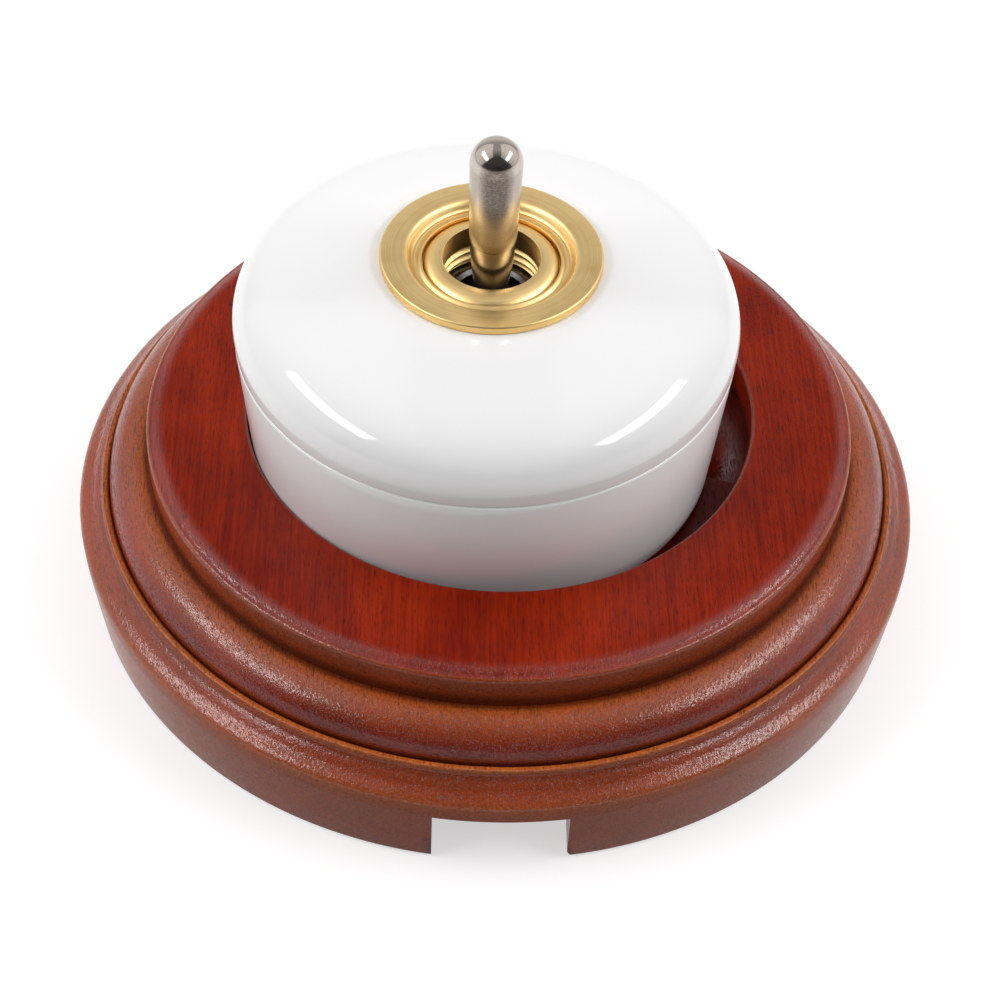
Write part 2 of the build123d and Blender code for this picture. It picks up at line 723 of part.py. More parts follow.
def line_terminal():
    """Terminal at the -Y end, whose strip ends in the two ears that the rocker pivots in."""
    inner = fulcrum_length / 2
    body = terminal(-1) + strip(inner, -1)
    ear_x = strip_width / 2 + fulcrum_gap + fulcrum_ear / 2
    top_z = rocker_z + rocker_pin_radius + fulcrum_over
    base_width = 2 * (ear_x + fulcrum_ear / 2)
    low_z = cavity_floor_z
    body = body + block(base_width, fulcrum_length, low_z, low_z + strip_thickness)
    for x in (-ear_x, ear_x):
        body = body + block(fulcrum_ear, fulcrum_length, low_z, top_z, x)
    hole = Pos(0, 0, rocker_z) * Rot(0, 90, 0)
    return body - hole * Cylinder(rocker_pin_radius + rocker_pin_gap, base_width)


def slotted_head(radius, height, low, x, y, turn=0.0):
    """Low domed screw head with one straight slot."""
    crown_radius = (radius**2 + screw_crown**2) / (2 * screw_crown)
    crown_turn = degrees(asin(radius / crown_radius))
    crown_centre = (0, low + height - crown_radius)
    head = turned(
        Line((0, low), (radius, low)),
        Line((radius, low), (radius, low + height - screw_crown)),
        CenterArc(crown_centre, crown_radius, 90 - crown_turn, crown_turn),
        Line((0, low + height), (0, low)),
    )
    slot = Pos(0, 0, low + height - screw_slot_depth / 2)
    cut = slot * Rot(0, 0, turn) * Box(screw_slot_width, 3 * radius, screw_slot_depth)
    return Pos(x, y, 0) * (head - cut)


def terminal_screws():
    """The two clamp screws on the terminal blocks."""
    top_z = floor_z + terminal_height
    middle = (housing_length + terminal_length) / 2
    screws = []
    for y, turn in ((-middle, 20), (middle, 65)):
        shank = upright(terminal_screw_radius, top_z - terminal_screw_length, top_z, 0, y)
        head = slotted_head(terminal_head_radius, terminal_head_height, top_z, 0, y, turn)
        screws.append(shank + head)
    return Compound(screws)


def bracket_screws():
    """The two machine screws through the bracket's feet and the cup's floor."""
    washer_z = floor_z + bracket_thickness + bracket_washer
    end_z = recess_floor_z + bracket_screw_setback
    screws = []
    for (x, y), turn in zip(bracket_screw_places, (75, 10)):
        shank = upright(bracket_screw_radius, end_z, washer_z, x, y)
        head = slotted_head(bracket_head_radius, bracket_head_height, washer_z, x, y, turn)
        screws.append(shank + head)
    return Compound(screws)


def bracket_washers():
    """A plain washer under each of the bracket's screws."""
    low_z = floor_z + bracket_thickness
    washers = []
    for x, y in bracket_screw_places:
        disc = upright(bracket_head_radius, low_z, low_z + bracket_washer, x, y)
        hole = upright(bracket_screw_radius + bracket_screw_gap, low_z, low_z + bracket_washer, x, y)
        washers.append(disc - hole)
    return Compound(washers)


def bracket_nuts():
    """The hexagon nuts in their pockets under the cup."""
    top_z = recess_floor_z + nut_pocket_depth
    flat = RegularPolygon(bracket_nut_flats / 2, 6, major_radius=False)
    nuts = []
    for x, y in bracket_screw_places:
        nut = Pos(x, y, top_z - bracket_nut_height) * extrude(flat, bracket_nut_height)
        nuts.append(nut - upright(bracket_screw_radius + nut_gap, recess_floor_z, top_z, x, y))
    return Compound(nuts)


def screw_body(x, y, extra):
    """Shank and point of a wood screw under its washer; extra widens it to a hole."""
    top_z = floor_z + base_washer
    low_z = top_z - base_screw_length
    radius = base_screw_radius + extra
    point = Pos(x, y, low_z + base_screw_tip / 2) * Cone(base_screw_point, radius, base_screw_tip)
    return upright(radius, low_z + base_screw_tip, top_z, x, y) + point


def base_screws():
    """The two wood screws that hold the cup to the wood base."""
    top_z = floor_z + base_washer
    screws = []
    for (x, y), turn in zip(base_screw_places, (30, 110)):
        head = slotted_head(base_head_radius, base_head_height, top_z, x, y, turn)
        screws.append(screw_body(x, y, 0) + head)
    return Compound(screws)


def base_washers():
    """A soft fibre washer under each wood screw, to spare the porcelain."""
    washers = []
    for x, y in base_screw_places:
        disc = upright(base_washer_radius, floor_z, floor_z + base_washer, x, y)
        hole = upright(base_screw_radius + base_screw_gap, floor_z, floor_z + base_washer, x, y)
        washers.append(disc - hole)
    return Compound(washers)


switch_pieces = {
    "porcelain_base": porcelain_base,
    "porcelain_cover": porcelain_cover,
    "rosette": rosette,
    "ring_nut": ring_nut,
    "bushing": bushing,
    "bridge_bracket": bridge_bracket,
    "mechanism_housing": mechanism_housing,
    "toggle_lever": toggle_lever,
    "lever_pin": lever_pin,
    "plunger": plunger,
    "plunger_spring": plunger_spring,
    "rocker_contact": rocker_contact,
    "moving_contact": moving_contact,
    "fixed_contact": fixed_contact,
    "load_terminal": load_terminal,
    "line_terminal": line_terminal,
    "terminal_screws": terminal_screws,
    "bracket_screws": bracket_screws,
    "bracket_washers": bracket_washers,
    "bracket_nuts": bracket_nuts,
    "base_screws": base_screws,
    "base_washers": base_washers,
}

os.makedirs("parts", exist_ok=True)
export_step(wood_base(), "parts/wood_base.step")
for name, make in switch_pieces.items():
    export_step(switch_place * make(), "parts/" + name + ".step")
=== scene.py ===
import json
from math import atan2, pi, radians, sqrt

import bmesh
import bpy
from mathutils import Matrix, Vector
from mathutils.geometry import interpolate_bezier


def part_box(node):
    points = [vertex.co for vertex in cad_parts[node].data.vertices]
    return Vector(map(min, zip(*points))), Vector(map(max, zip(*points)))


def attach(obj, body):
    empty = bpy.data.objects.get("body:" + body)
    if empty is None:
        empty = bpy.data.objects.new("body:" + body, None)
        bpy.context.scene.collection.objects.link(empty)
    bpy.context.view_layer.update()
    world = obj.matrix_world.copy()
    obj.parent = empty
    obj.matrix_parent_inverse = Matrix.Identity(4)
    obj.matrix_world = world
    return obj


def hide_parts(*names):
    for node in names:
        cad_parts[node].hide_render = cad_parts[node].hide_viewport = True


# The looks of a surface toggle switch: glazed porcelain on a stained and lacquered turned wood base,
# with a lathe-turned brass rosette and a nickel-plated lever. Shapes are in millimetres, scene in metres.
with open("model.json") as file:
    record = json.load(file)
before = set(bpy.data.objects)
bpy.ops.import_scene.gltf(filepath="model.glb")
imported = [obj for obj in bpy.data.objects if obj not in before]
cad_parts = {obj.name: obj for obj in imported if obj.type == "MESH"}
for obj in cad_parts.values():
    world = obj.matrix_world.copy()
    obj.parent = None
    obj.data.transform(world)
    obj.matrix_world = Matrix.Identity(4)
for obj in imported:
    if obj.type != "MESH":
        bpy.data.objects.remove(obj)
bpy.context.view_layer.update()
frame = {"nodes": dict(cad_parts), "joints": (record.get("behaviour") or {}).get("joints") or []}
MM = 0.001
CIRCLE_HANDLE = 0.5523        # Bezier handle of a quarter circle, as a share of its radius
CUTTER_RUN = 1.0              # how far a cutter runs past the face that it cuts
CUTTER_SLIVER = 0.01          # the same where a countersink's rim has to keep its size


def box_mm(node):
    """Lowest and highest corner of a frame node, in millimetres."""
    low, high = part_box(node)
    return low / MM, high / MM


# Places that come from the frame. All sizes below are in millimetres.
wood_high = box_mm("wood_base")[1]
cup_low, cup_high = box_mm("porcelain_base")
cover_low, cover_high = box_mm("porcelain_cover")
rosette_high = box_mm("rosette")[1]
ring_low, ring_high = box_mm("ring_nut")
bushing_low, bushing_high = box_mm("bushing")
lever_swing = next(joint for joint in frame["joints"] if joint["name"] == "lever_swing")
pivot = Vector(lever_swing["pos_m"]) / MM
switch_centre = Vector((pivot.x, pivot.y, 0))
porcelain_centre = Vector(((cover_low.x + cover_high.x) / 2, (cover_low.y + cover_high.y) / 2, 0))

# Wood base, counted down from its top face.
wood_radius = wood_high.x
wood_top = wood_high.z
disc_side = 4.7
disc_edge_width = 2.6
disc_edge_drop = 0.55
disc_edge_round = 0.55
disc_edge_pull = 0.9          # Bezier handles of the rolled edge
disc_edge_foot_pull = 0.6
disc_edge_foot_lift = 0.36
thumb_width = 4.8
thumb_drop = 4.1
quirk = 0.35
ledge_width = 0.9
cove_width = 1.1
cove_drop = 1.75
cove_pull = 0.75              # Bezier handles down the cove and round the shoulder
cove_foot_pull = 0.9
shoulder_pull = 0.8
shoulder_width = 1.8
shoulder_drop = 1.7
side_edge = 1.8
side_edge_inset = 0.1
side_edge_soft = 0.2
hollow_edge_soft = 0.3
side_lean = 1.1
back_edge = 0.5
recess_radius = 29.7
recess_shift = 0.9            # along Y, off the base's axis
recess_floor = cup_low.z
recess_edge = 0.5
hollow_radius = 31.0
hollow_depth = 9.2
notch_width = 15.0
notch_height = 8.5
notch_corner_left = 0.7
notch_corner_right = 1.7
wall_hole_x = 21.0
wall_hole_radius = 2.25
wall_head_radius = 4.3
floor_hole_reach = 19.6
wood_cable_hole_radius = 5.5
wood_screw_hole_radius = 1.85
cable_hole_radius = 3.6
screw_hole_radius = 1.85
pilot_web = 1.8               # wood left under the cup's screw holes
cable_turns = (135, 315)      # bearings from the switch's axis
screw_turns = (45, 225)
crisp = 0.12                  # rounding that lacquer leaves on a crisp turned edge

# Porcelain.
cup_foot_radius = 27.05
cup_rim_radius = cup_high.x - porcelain_centre.x
seam_z = cup_high.z
cup_wall = 4.0
cup_floor = 5.0
cup_floor_z = cup_low.z + cup_floor
cup_foot_edge = 1.2
cup_inner_edge = 0.4
seam_edge = 0.3
cover_radius = cover_high.x - porcelain_centre.x
cover_skirt = 1.9
cover_top = cover_high.z
cover_crown = 4.3
cover_crown_drop = 0.9
cover_shoulder = 10.8
cover_side_pull = 5.0         # Bezier handles that shape the shoulder
cover_top_pull = 5.4
cover_land_pull = 1.6
cover_top_slope = 0.28
cover_land = 13.2
cover_hole_radius = 9.1
cover_hole_edge = 0.5
cover_lip_gap = 0.35
cover_lip_wall = 1.8
cover_lip_outer = cup_rim_radius - cup_wall - cover_lip_gap
cover_lip_inner = cover_lip_outer - cover_lip_wall
cover_lip_drop = 1.6
cover_roof = 3.4              # height above the seam where the hollow starts to close
cover_roof_pull = 2.0         # Bezier handles of the hollow
cover_roof_flat = 1.95
bracket_hole_x = 13.6
bracket_hole_radius = 1.85
nut_pocket_radius = 3.4 / 0.866   # half the width across flats, over the cosine of 30 degrees
nut_pocket_depth = 3.0

# Brass rosette and ring.
rosette_radius = rosette_high.x - switch_centre.x
rosette_top = rosette_high.z
rosette_edge = 0.15
rosette_foot_edge = 0.12
rosette_soft = 0.08           # how far the faced edges are softened
rosette_lip_soft = 0.07
dish_radius = 9.95
dish_foot = 8.3
dish_drop = 1.25
lip_radius = 7.95
lip_drop = 1.0
bore_radius = 7.75
bore_drop = 2.1
rosette_ledge_radius = 6.85
rosette_hub_radius = 8.6
rosette_hub_drop = 0.8
ring_radius = ring_high.x - switch_centre.x
ring_seat = rosette_top - bore_drop
ring_foot_edge = 0.1
ring_side = 0.3
ring_side_pull = 0.6          # Bezier handles of the domed top
ring_crest_pull = 1.1
ring_crest = ring_high.z
ring_mouth = 0.12
ring_hole_radius = 5.42
ring_collar = 2.6
ring_runout = 0.4             # slope from the collar out to the thread's root
ring_mouth_soft = 0.05
ring_collar_soft = 0.06
ring_shank_radius = 6.7
thread_radius = 6.0
thread_pitch = 1.0
thread_flat = 0.2
thread_gap = 0.02             # between one turn of the ridge and the next
thread_root = 0.08            # how far the ridge is sunk in the ring
thread_start = 0.55           # below the collar
thread_past = 1.0             # below the bushing's top

# Bushing.
bushing_top = bushing_high.z
bushing_spigot = 2.0
bushing_flange_top = bushing_low.z + bushing_spigot
bushing_flange_radius = bushing_high.x - switch_centre.x
bushing_spigot_radius = 5.4
bushing_bore_radius = 4.0
bushing_mouth = 0.4
bushing_flange = 1.0

# Lever, counted along it from its pivot.
lever_lean = radians(9.0)
lever_tip_radius = 2.85
lever_foot_radius = 2.62
lever_reach = 30.4
step_reach = 15.6
step_edge = 0.25
step_foot_soft = 0.05
step_soft = 0.08
neck_radius = 2.45
neck_length = 2.2
shank_radius = 1.9
shank_reach = 7.0
ball_radius = 3.6
arm_radius = 2.4
arm_reach = 3.74
spring_bore_radius = 1.55
pin_hole_radius = 0.85
arm_bore_top = -1.6
shank_pull = 1.2              # Bezier handles from the shank out to the neck
dark_band_from = 54.5              # height above the back at which the painted dark reflection on the lever starts
dark_band_fade = 3.0


def srgb(code):
    """A hex colour as linear red, green, blue and alpha."""
    channels = [int(code[i : i + 2], 16) / 255 for i in (1, 3, 5)]
    return [c / 12.92 if c <= 0.04045 else ((c + 0.055) / 1.055) ** 2.4 for c in channels] + [1.0]


def add_node(tree, kind, links=None, **settings):
    """Add a node with its properties. links gives its inputs, by name or number, as values, as sockets,
    or as nodes, whose first output is taken."""
    node = tree.nodes.new(kind)
    for name, value in settings.items():
        setattr(node, name, value)
    for key, value in (links or {}).items():
        if isinstance(value, bpy.types.Node):
            value = value.outputs[0]
        if isinstance(value, bpy.types.NodeSocket):
            tree.links.new(value, node.inputs[key])
        else:
            node.inputs[key].default_value = value
    return node


def new_material(name):
    """An empty material and its node tree."""
    material = bpy.data.materials.new(name)
    material.use_nodes = True
    tree = material.node_tree
    tree.nodes.clear()
    return material, tree


def pattern_place(tree, size_mm, stretch=(1, 1, 1)):
    """Object coordinates centred on the switch's axis and scaled so that one unit is size_mm."""
    scale = [1 / (size_mm * MM * s) for s in stretch]
    centre = [-switch_centre.x * MM * scale[0], -switch_centre.y * MM * scale[1], 0]
    place = add_node(tree, "ShaderNodeTexCoord").outputs["Object"]
    return add_node(tree, "ShaderNodeMapping", {"Vector": place, "Location": centre, "Scale": scale})


def lacquered_red_hardwood():
    """Beech-like hardwood, turned, stained reddish brown and lacquered. Pores and end grain take more
    stain, the grooves are darkened with painted shade, and the mouldings are paler where the stain is
    rubbed through, with a painted sheen on the upward tops of the thumb and ridge. The gloss lacquer has a
    fine orange peel, the lathe's lines draw its highlights out across the mouldings, and it is thin on
    upright sides."""
    material, tree = new_material("lacquered_red_hardwood")

    # Millimetres across the grain and stretch along it. Real pores are 0.05 mm wide, too fine to show in
    # the render, so they are drawn at pore_width. Streaks and mottle are the stain's, speckle is where it is
    # rubbed through, and peel is the lacquer's orange peel.
    pore_width, pore_length = 0.14, 1.7
    grain = {}
    for name, size, stretch, detail, roughness, distortion in (
        ("pores", pore_width, pore_length / pore_width, 2, 0.6, 0),
        ("streaks", 0.3, 40, 3, 0.65, 0.2),
        ("mottle", 9.0, 1.8, 3, 0.6, 0),
        ("speckle", 0.32, 1, 2, 0.65, 0),
        ("peel", 0.32, 1.6, 2, 0.6, 0),
    ):
        place = pattern_place(tree, size, (1, stretch, 1))
        links = {"Vector": place, "Scale": 1, "Detail": detail, "Roughness": roughness}
        grain[name] = add_node(tree, "ShaderNodeTexNoise", {**links, "Distortion": distortion})

    place = add_node(tree, "ShaderNodeTexCoord").outputs
    facing = add_node(tree, "ShaderNodeSeparateXYZ", {0: place["Normal"]}).outputs
    wear_and_sheen = add_node(tree, "ShaderNodeAttribute", attribute_name="wear_and_sheen").outputs["Fac"]
    crest = add_node(tree, "ShaderNodeAttribute", attribute_name="crest").outputs["Fac"]

    # Where each shade lies, from 0 to 1.
    tone = add_node(tree, "ShaderNodeMath", {0: grain["streaks"], 1: grain["mottle"]}, operation="ADD")
    tone = add_node(tree, "ShaderNodeMapRange", {0: tone, 1: 0.72, 2: 1.32})
    sideways = add_node(tree, "ShaderNodeMath", {0: facing["Y"]}, operation="ABSOLUTE")
    end_grain = add_node(tree, "ShaderNodeMapRange", {0: sideways, 1: 0.25, 2: 0.9})
    # Paler on the mouldings: stain rubbed through, and on the upward tops of the thumb and ridge a painted
    # sheen.
    rubbed_and_sheen = add_node(tree, "ShaderNodeMapRange", {0: grain["speckle"], 1: 0.36, 2: 0.6, 3: 0.5})
    rubbed_and_sheen = add_node(tree, "ShaderNodeMath", {0: wear_and_sheen, 1: rubbed_and_sheen}, operation="MULTIPLY")
    # Painted shade in the grooves: darker the further a vertex lies below its outline's run.
    groove_shade = add_node(tree, "ShaderNodeMapRange", {0: crest, 1: -0.08, 2: -0.4})
    pores = add_node(tree, "ShaderNodeMapRange", {0: grain["pores"], 1: 0.56, 2: 0.7})
    colour = srgb("#6E1000")
    for share, strength, shade in (
        (tone, 1, "#A42900"),
        (end_grain, 0.45, "#4E0F05"),
        (rubbed_and_sheen, 0.9, "#C46C30"),
        (groove_shade, 0.6, "#2E0C06"),
        (pores, 0.6, "#2C0603"),
    ):
        share = add_node(tree, "ShaderNodeMath", {0: share, 1: strength}, operation="MULTIPLY")
        mixed = add_node(tree, "ShaderNodeMix", {0: share, 6: colour, 7: srgb(shade)}, data_type="RGBA")
        colour = mixed.outputs[2]

    # Duller where the stain is rubbed through and the sheen is painted, and less gloss on upright sides and
    # on the flat top.
    rough = add_node(tree, "ShaderNodeMapRange", {0: grain["mottle"], 1: 0.3, 2: 0.7, 3: 0.13, 4: 0.18})
    rough = add_node(tree, "ShaderNodeMath", {0: rubbed_and_sheen, 1: 0.05, 2: rough}, operation="MULTIPLY_ADD")
    on_sides = add_node(tree, "ShaderNodeMapRange", {0: facing["Z"], 1: 0.05, 2: 0.5, 3: 0.14, 4: 0.75})
    on_top = add_node(tree, "ShaderNodeMapRange", {0: facing["Z"], 1: 0.95, 2: 1, 3: 1, 4: 0.22})
    gloss = add_node(tree, "ShaderNodeMath", {0: on_sides, 1: on_top}, operation="MULTIPLY")

    # The lathe's lines run round the axis, so a highlight is drawn out across them.
    around = add_node(
        tree, "ShaderNodeVectorMath", {0: (0, 0, 1), 1: place["Object"]}, operation="CROSS_PRODUCT"
    )
    across = add_node(
        tree, "ShaderNodeVectorMath", {0: around, 1: place["Normal"]}, operation="CROSS_PRODUCT"
    )
    across = add_node(
        tree,
        "ShaderNodeVectorTransform",
        {0: across},
        vector_type="VECTOR",
        convert_from="OBJECT",
        convert_to="WORLD",
    )

    peel_depth, pore_depth = 0.055, 0.04
    relief = add_node(
        tree, "ShaderNodeBump", {"Height": grain["peel"], "Strength": 1, "Distance": peel_depth * MM}
    )
    between_pores = add_node(tree, "ShaderNodeMath", {0: 1, 1: pores}, operation="SUBTRACT")
    relief = add_node(
        tree,
        "ShaderNodeBump",
        {"Height": between_pores, "Strength": 1, "Distance": pore_depth * MM, "Normal": relief},
    )
    shader = add_node(
        tree,
        "ShaderNodeBsdfPrincipled",
        {
            "Base Color": colour,
            "Roughness": rough,
            "IOR": 1.45,
            "Specular IOR Level": gloss,
            "Anisotropic": 0.5,
            "Tangent": across,
            "Normal": relief,
        },
    )
    add_node(tree, "ShaderNodeOutputMaterial", {"Surface": shader})
    return material


def glazed_porcelain():
    """White porcelain under a clear feldspar glaze: smooth, hard reflections with a slight wave."""
    material, tree = new_material("glazed_porcelain")
    wave_size, wave_depth = 6.0, 0.02                 # how the glaze ran in the kiln
    wave = add_node(
        tree, "ShaderNodeTexNoise", {"Vector": pattern_place(tree, wave_size), "Scale": 1, "Detail": 1}
    )
    relief = add_node(tree, "ShaderNodeBump", {"Height": wave, "Strength": 1, "Distance": wave_depth * MM})
    shader = add_node(
        tree,
        "ShaderNodeBsdfPrincipled",
        {"Base Color": srgb("#FAF9F9"), "Roughness": 0.07, "IOR": 1.52, "Normal": relief},
    )
    add_node(tree, "ShaderNodeOutputMaterial", {"Surface": shader})
    return material


def turned_brass():
    """Brass faced on a lathe and left bare: warm yellow with faint tarnish, and fine rings round the axis
    that draw each highlight out across them."""
    material, tree = new_material("turned_brass")
    # The facing tool moved about 0.16 mm a turn, and the tarnish lies in patches of a few millimetres.
    ring_pitch, ring_depth, tarnish_size = 0.16, 0.004, 3.5
    flat = add_node(
        tree, "ShaderNodeVectorMath", {0: pattern_place(tree, ring_pitch), 1: (1, 1, 0)}, operation="MULTIPLY"
    )
    radius = add_node(tree, "ShaderNodeVectorMath", {0: flat}, operation="LENGTH").outputs["Value"]
    grain = {}
    for name, place in (
        ("rings", add_node(tree, "ShaderNodeCombineXYZ", {0: radius})),
        ("tarnish", pattern_place(tree, tarnish_size)),
    ):
        links = {"Vector": place, "Scale": 1, "Detail": 3, "Roughness": 0.6}
        grain[name] = add_node(tree, "ShaderNodeTexNoise", links)

    pale = add_node(tree, "ShaderNodeMapRange", {0: grain["rings"], 1: 0.35, 2: 0.65})
    tarnished = add_node(tree, "ShaderNodeMapRange", {0: grain["tarnish"], 1: 0.45, 2: 0.75, 4: 0.35})
    colour = srgb("#EEC880")
    for share, shade in ((pale, "#FBE0A6"), (tarnished, "#D6A65C")):
        mixed = add_node(tree, "ShaderNodeMix", {0: share, 6: colour, 7: srgb(shade)}, data_type="RGBA")
        colour = mixed.outputs[2]
    relief = add_node(
        tree, "ShaderNodeBump", {"Height": grain["rings"], "Strength": 1, "Distance": ring_depth * MM}
    )
    shader = add_node(
        tree,
        "ShaderNodeBsdfPrincipled",
        {
            "Base Color": colour,
            "Metallic": 1,
            "Roughness": add_node(
                tree, "ShaderNodeMapRange", {0: grain["rings"], 1: 0.3, 2: 0.7, 3: 0.32, 4: 0.42}
            ),
            "Anisotropic": 0.5,
            "Normal": relief,
            "Tangent": add_node(tree, "ShaderNodeTangent", direction_type="RADIAL", axis="Z"),
        },
    )
    add_node(tree, "ShaderNodeOutputMaterial", {"Surface": shader})
    return material


def satin_nickel_plate():
    """Nickel plate on a turned brass lever: warm grey, polished at the tip and satin below it, with a painted
    dark reflection streaked down the front and the back of the grip."""
    material, tree = new_material("satin_nickel_plate")
    # Real satin plate has a grit of some 0.03 mm, too fine to show in the render, so it is drawn coarser.
    grit_size, grit_depth, streak_width = 0.12, 0.002, 0.35
    grain = {}
    for name, size, stretch, detail in (("grit", grit_size, 1.6, 2), ("streaks", streak_width, 0.12, 3)):
        place = pattern_place(tree, size, (1, 1, stretch))
        links = {"Vector": place, "Scale": 1, "Detail": detail, "Roughness": 0.6}
        grain[name] = add_node(tree, "ShaderNodeTexNoise", links)

    place = add_node(tree, "ShaderNodeTexCoord").outputs
    facing = add_node(tree, "ShaderNodeSeparateXYZ", {0: place["Normal"]}).outputs
    height = add_node(tree, "ShaderNodeSeparateXYZ", {0: place["Object"]}).outputs["Z"]
    # A painted dark reflection, in streaks down the front and the back of the grip, from a set height up to
    # the dome.
    faces_front_or_back = add_node(tree, "ShaderNodeMath", {0: facing["Y"]}, operation="ABSOLUTE")
    dark_reflection = add_node(tree, "ShaderNodeMapRange", {0: grain["streaks"], 1: 0.38, 2: 0.56, 3: 0.5})
    for value, none, full in (
        (faces_front_or_back, 0.72, 0.93),
        (height, dark_band_from * MM, (dark_band_from + dark_band_fade) * MM),
        (facing["Z"], 0.62, 0.45),
    ):
        share = add_node(tree, "ShaderNodeMapRange", {0: value, 1: none, 2: full})
        dark_reflection = add_node(tree, "ShaderNodeMath", {0: dark_reflection, 1: share}, operation="MULTIPLY")

    pale = add_node(tree, "ShaderNodeMapRange", {0: grain["grit"], 1: 0.35, 2: 0.65})
    colour = srgb("#BAB0A6")
    for share, shade in ((pale, "#CAC0B6"), (dark_reflection, "#675D55")):
        mixed = add_node(tree, "ShaderNodeMix", {0: share, 6: colour, 7: srgb(shade)}, data_type="RGBA")
        colour = mixed.outputs[2]
    shader = add_node(
        tree,
        "ShaderNodeBsdfPrincipled",
        {
            "Base Color": colour,
            "Metallic": 1,
            "Roughness": add_node(
                tree, "ShaderNodeMapRange", {0: facing["Z"], 1: 0.1, 2: 0.6, 3: 0.22, 4: 0.1}
            ),
            "Normal": add_node(
                tree, "ShaderNodeBump", {"Height": grain["grit"], "Strength": 1, "Distance": grit_depth * MM}
            ),
        },
    )
    add_node(tree, "ShaderNodeOutputMaterial", {"Surface": shader})
    return material


def grained_finish(name, size_mm, depth_mm, colours, colour_range, rough, **sockets):
    """A finish that a fine grain shades between two colours and two roughnesses. sockets holds what is
    the same all over."""
    material, tree = new_material(name)
    grain = add_node(
        tree,
        "ShaderNodeTexNoise",
        {"Vector": pattern_place(tree, size_mm), "Scale": 1, "Detail": 3, "Roughness": 0.6},
    )
    low, high = colour_range
    share = add_node(tree, "ShaderNodeMapRange", {0: grain, 1: low, 2: high})
    mixed = add_node(tree, "ShaderNodeMix", {0: share, 6: colours[0], 7: colours[1]}, data_type="RGBA")
    shader = add_node(
        tree,
        "ShaderNodeBsdfPrincipled",
        {
            "Base Color": mixed.outputs[2],
            "Roughness": add_node(
                tree, "ShaderNodeMapRange", {0: grain, 1: 0.3, 2: 0.7, 3: rough[0], 4: rough[1]}
            ),
            "Normal": add_node(
                tree, "ShaderNodeBump", {"Height": grain, "Strength": 1, "Distance": depth_mm * MM}
            ),
            **sockets,
        },
    )
    add_node(tree, "ShaderNodeOutputMaterial", {"Surface": shader})
    return material


def plain_metal(name, colour, rough, spread, grain_mm):
    """A plated, drawn, rolled or milled metal: an even sheen that its grain, grain_mm across, breaks up a
    little."""
    grain_depth, shade = 0.003, 0.72
    dark = [c * shade for c in srgb(colour)[:3]] + [1.0]
    colours, ends = (dark, srgb(colour)), (rough, rough + spread)
    return grained_finish(name, grain_mm, grain_depth, colours, (0.35, 0.65), ends, Metallic=1)


def moulded(name, colour, light, rough, grain_mm, relief_mm):
    """A pressed or moulded board or resin: dull, with a faint mottle of its filler, grain_mm across."""
    spread, filler = 0.12, (0.35, 0.7)
    colours, ends = (srgb(colour), srgb(light)), (rough, rough + spread)
    return grained_finish(name, grain_mm, relief_mm, colours, filler, ends, IOR=1.5)


def round_corner(start, corner, end, steps=6):
    """Points of a quarter ellipse that leaves start and reaches end, both heading for or from corner."""
    start, corner, end = Vector(start), Vector(corner), Vector(end)
    out = start.lerp(corner, CIRCLE_HANDLE)
    into = end.lerp(corner, CIRCLE_HANDLE)
    return [tuple(p) for p in interpolate_bezier(start, out, into, end, steps + 1)]


def bezier(start, out, into, end, steps=12):
    """Points of one Bezier curve in the radius and height plane."""
    points = interpolate_bezier(Vector(start), Vector(out), Vector(into), Vector(end), steps + 1)
    return [tuple(p) for p in points]


def softened(before, corner, after, size=crisp):
    """A corner with a small round of the given size."""
    corner_point = Vector(corner)
    start = corner_point + (Vector(before) - corner_point).normalized() * size
    end = corner_point + (Vector(after) - corner_point).normalized() * size
    return round_corner(start, corner, end, 3)


def tidy_outline(outline):
    """Drop points that repeat the one before."""
    kept = [outline[0]]
    for point in outline[1:]:
        if (Vector(point) - Vector(kept[-1])).length > 1e-4:
            kept.append(point)
    if (Vector(kept[0]) - Vector(kept[-1])).length < 1e-4:
        kept.pop()
    return kept


def lathe(outline, steps=180):
    """A bmesh of a closed outline, in millimetres as (radius, height), spun round the upright axis."""
    mesh = bmesh.new()
    points = tidy_outline(outline)
    verts = [mesh.verts.new((r * MM, 0, z * MM)) for r, z in points]
    edges = [mesh.edges.new(pair) for pair in zip(verts, verts[1:] + verts[:1])]
    bmesh.ops.spin(
        mesh, geom=verts + edges, cent=(0, 0, 0), axis=(0, 0, 1), angle=2 * pi, steps=steps, use_merge=True
    )
    bmesh.ops.remove_doubles(mesh, verts=mesh.verts, dist=1e-7)
    bmesh.ops.dissolve_degenerate(mesh, dist=1e-8, edges=mesh.edges)
    loose = [e for e in mesh.edges if not e.link_faces]
    bmesh.ops.delete(mesh, geom=loose, context="EDGES")
    bmesh.ops.recalc_face_normals(mesh, faces=mesh.faces)
    return mesh


def make_piece(name, mesh, material, body, slot, *nodes, sharp=35):
    """Turn a finished bmesh into a smooth-shaded piece that rides its body and stands for its nodes."""
    for face in mesh.faces:
        face.smooth = True
    for edge in mesh.edges:
        edge.smooth = len(edge.link_faces) != 2 or edge.calc_face_angle() < radians(sharp)
    data = bpy.data.meshes.new(name)
    mesh.to_mesh(data)
    mesh.free()
    piece = bpy.data.objects.new(name, data)
    bpy.context.scene.collection.objects.link(piece)
    data.materials.append(material)
    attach(piece, body)
    if nodes:
        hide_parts(*nodes)
    return piece


def bar(radius, low, high, x=0.0, y=0.0, top_radius=None, steps=48):
    """A bmesh of a round or tapered bar, in millimetres."""
    mesh = bmesh.new()
    bmesh.ops.create_cone(
        mesh,
        cap_ends=True,
        segments=steps,
        radius1=radius * MM,
        radius2=(radius if top_radius is None else top_radius) * MM,
        depth=(high - low) * MM,
        matrix=Matrix.Translation(Vector((x, y, (low + high) / 2)) * MM),
    )
    return mesh


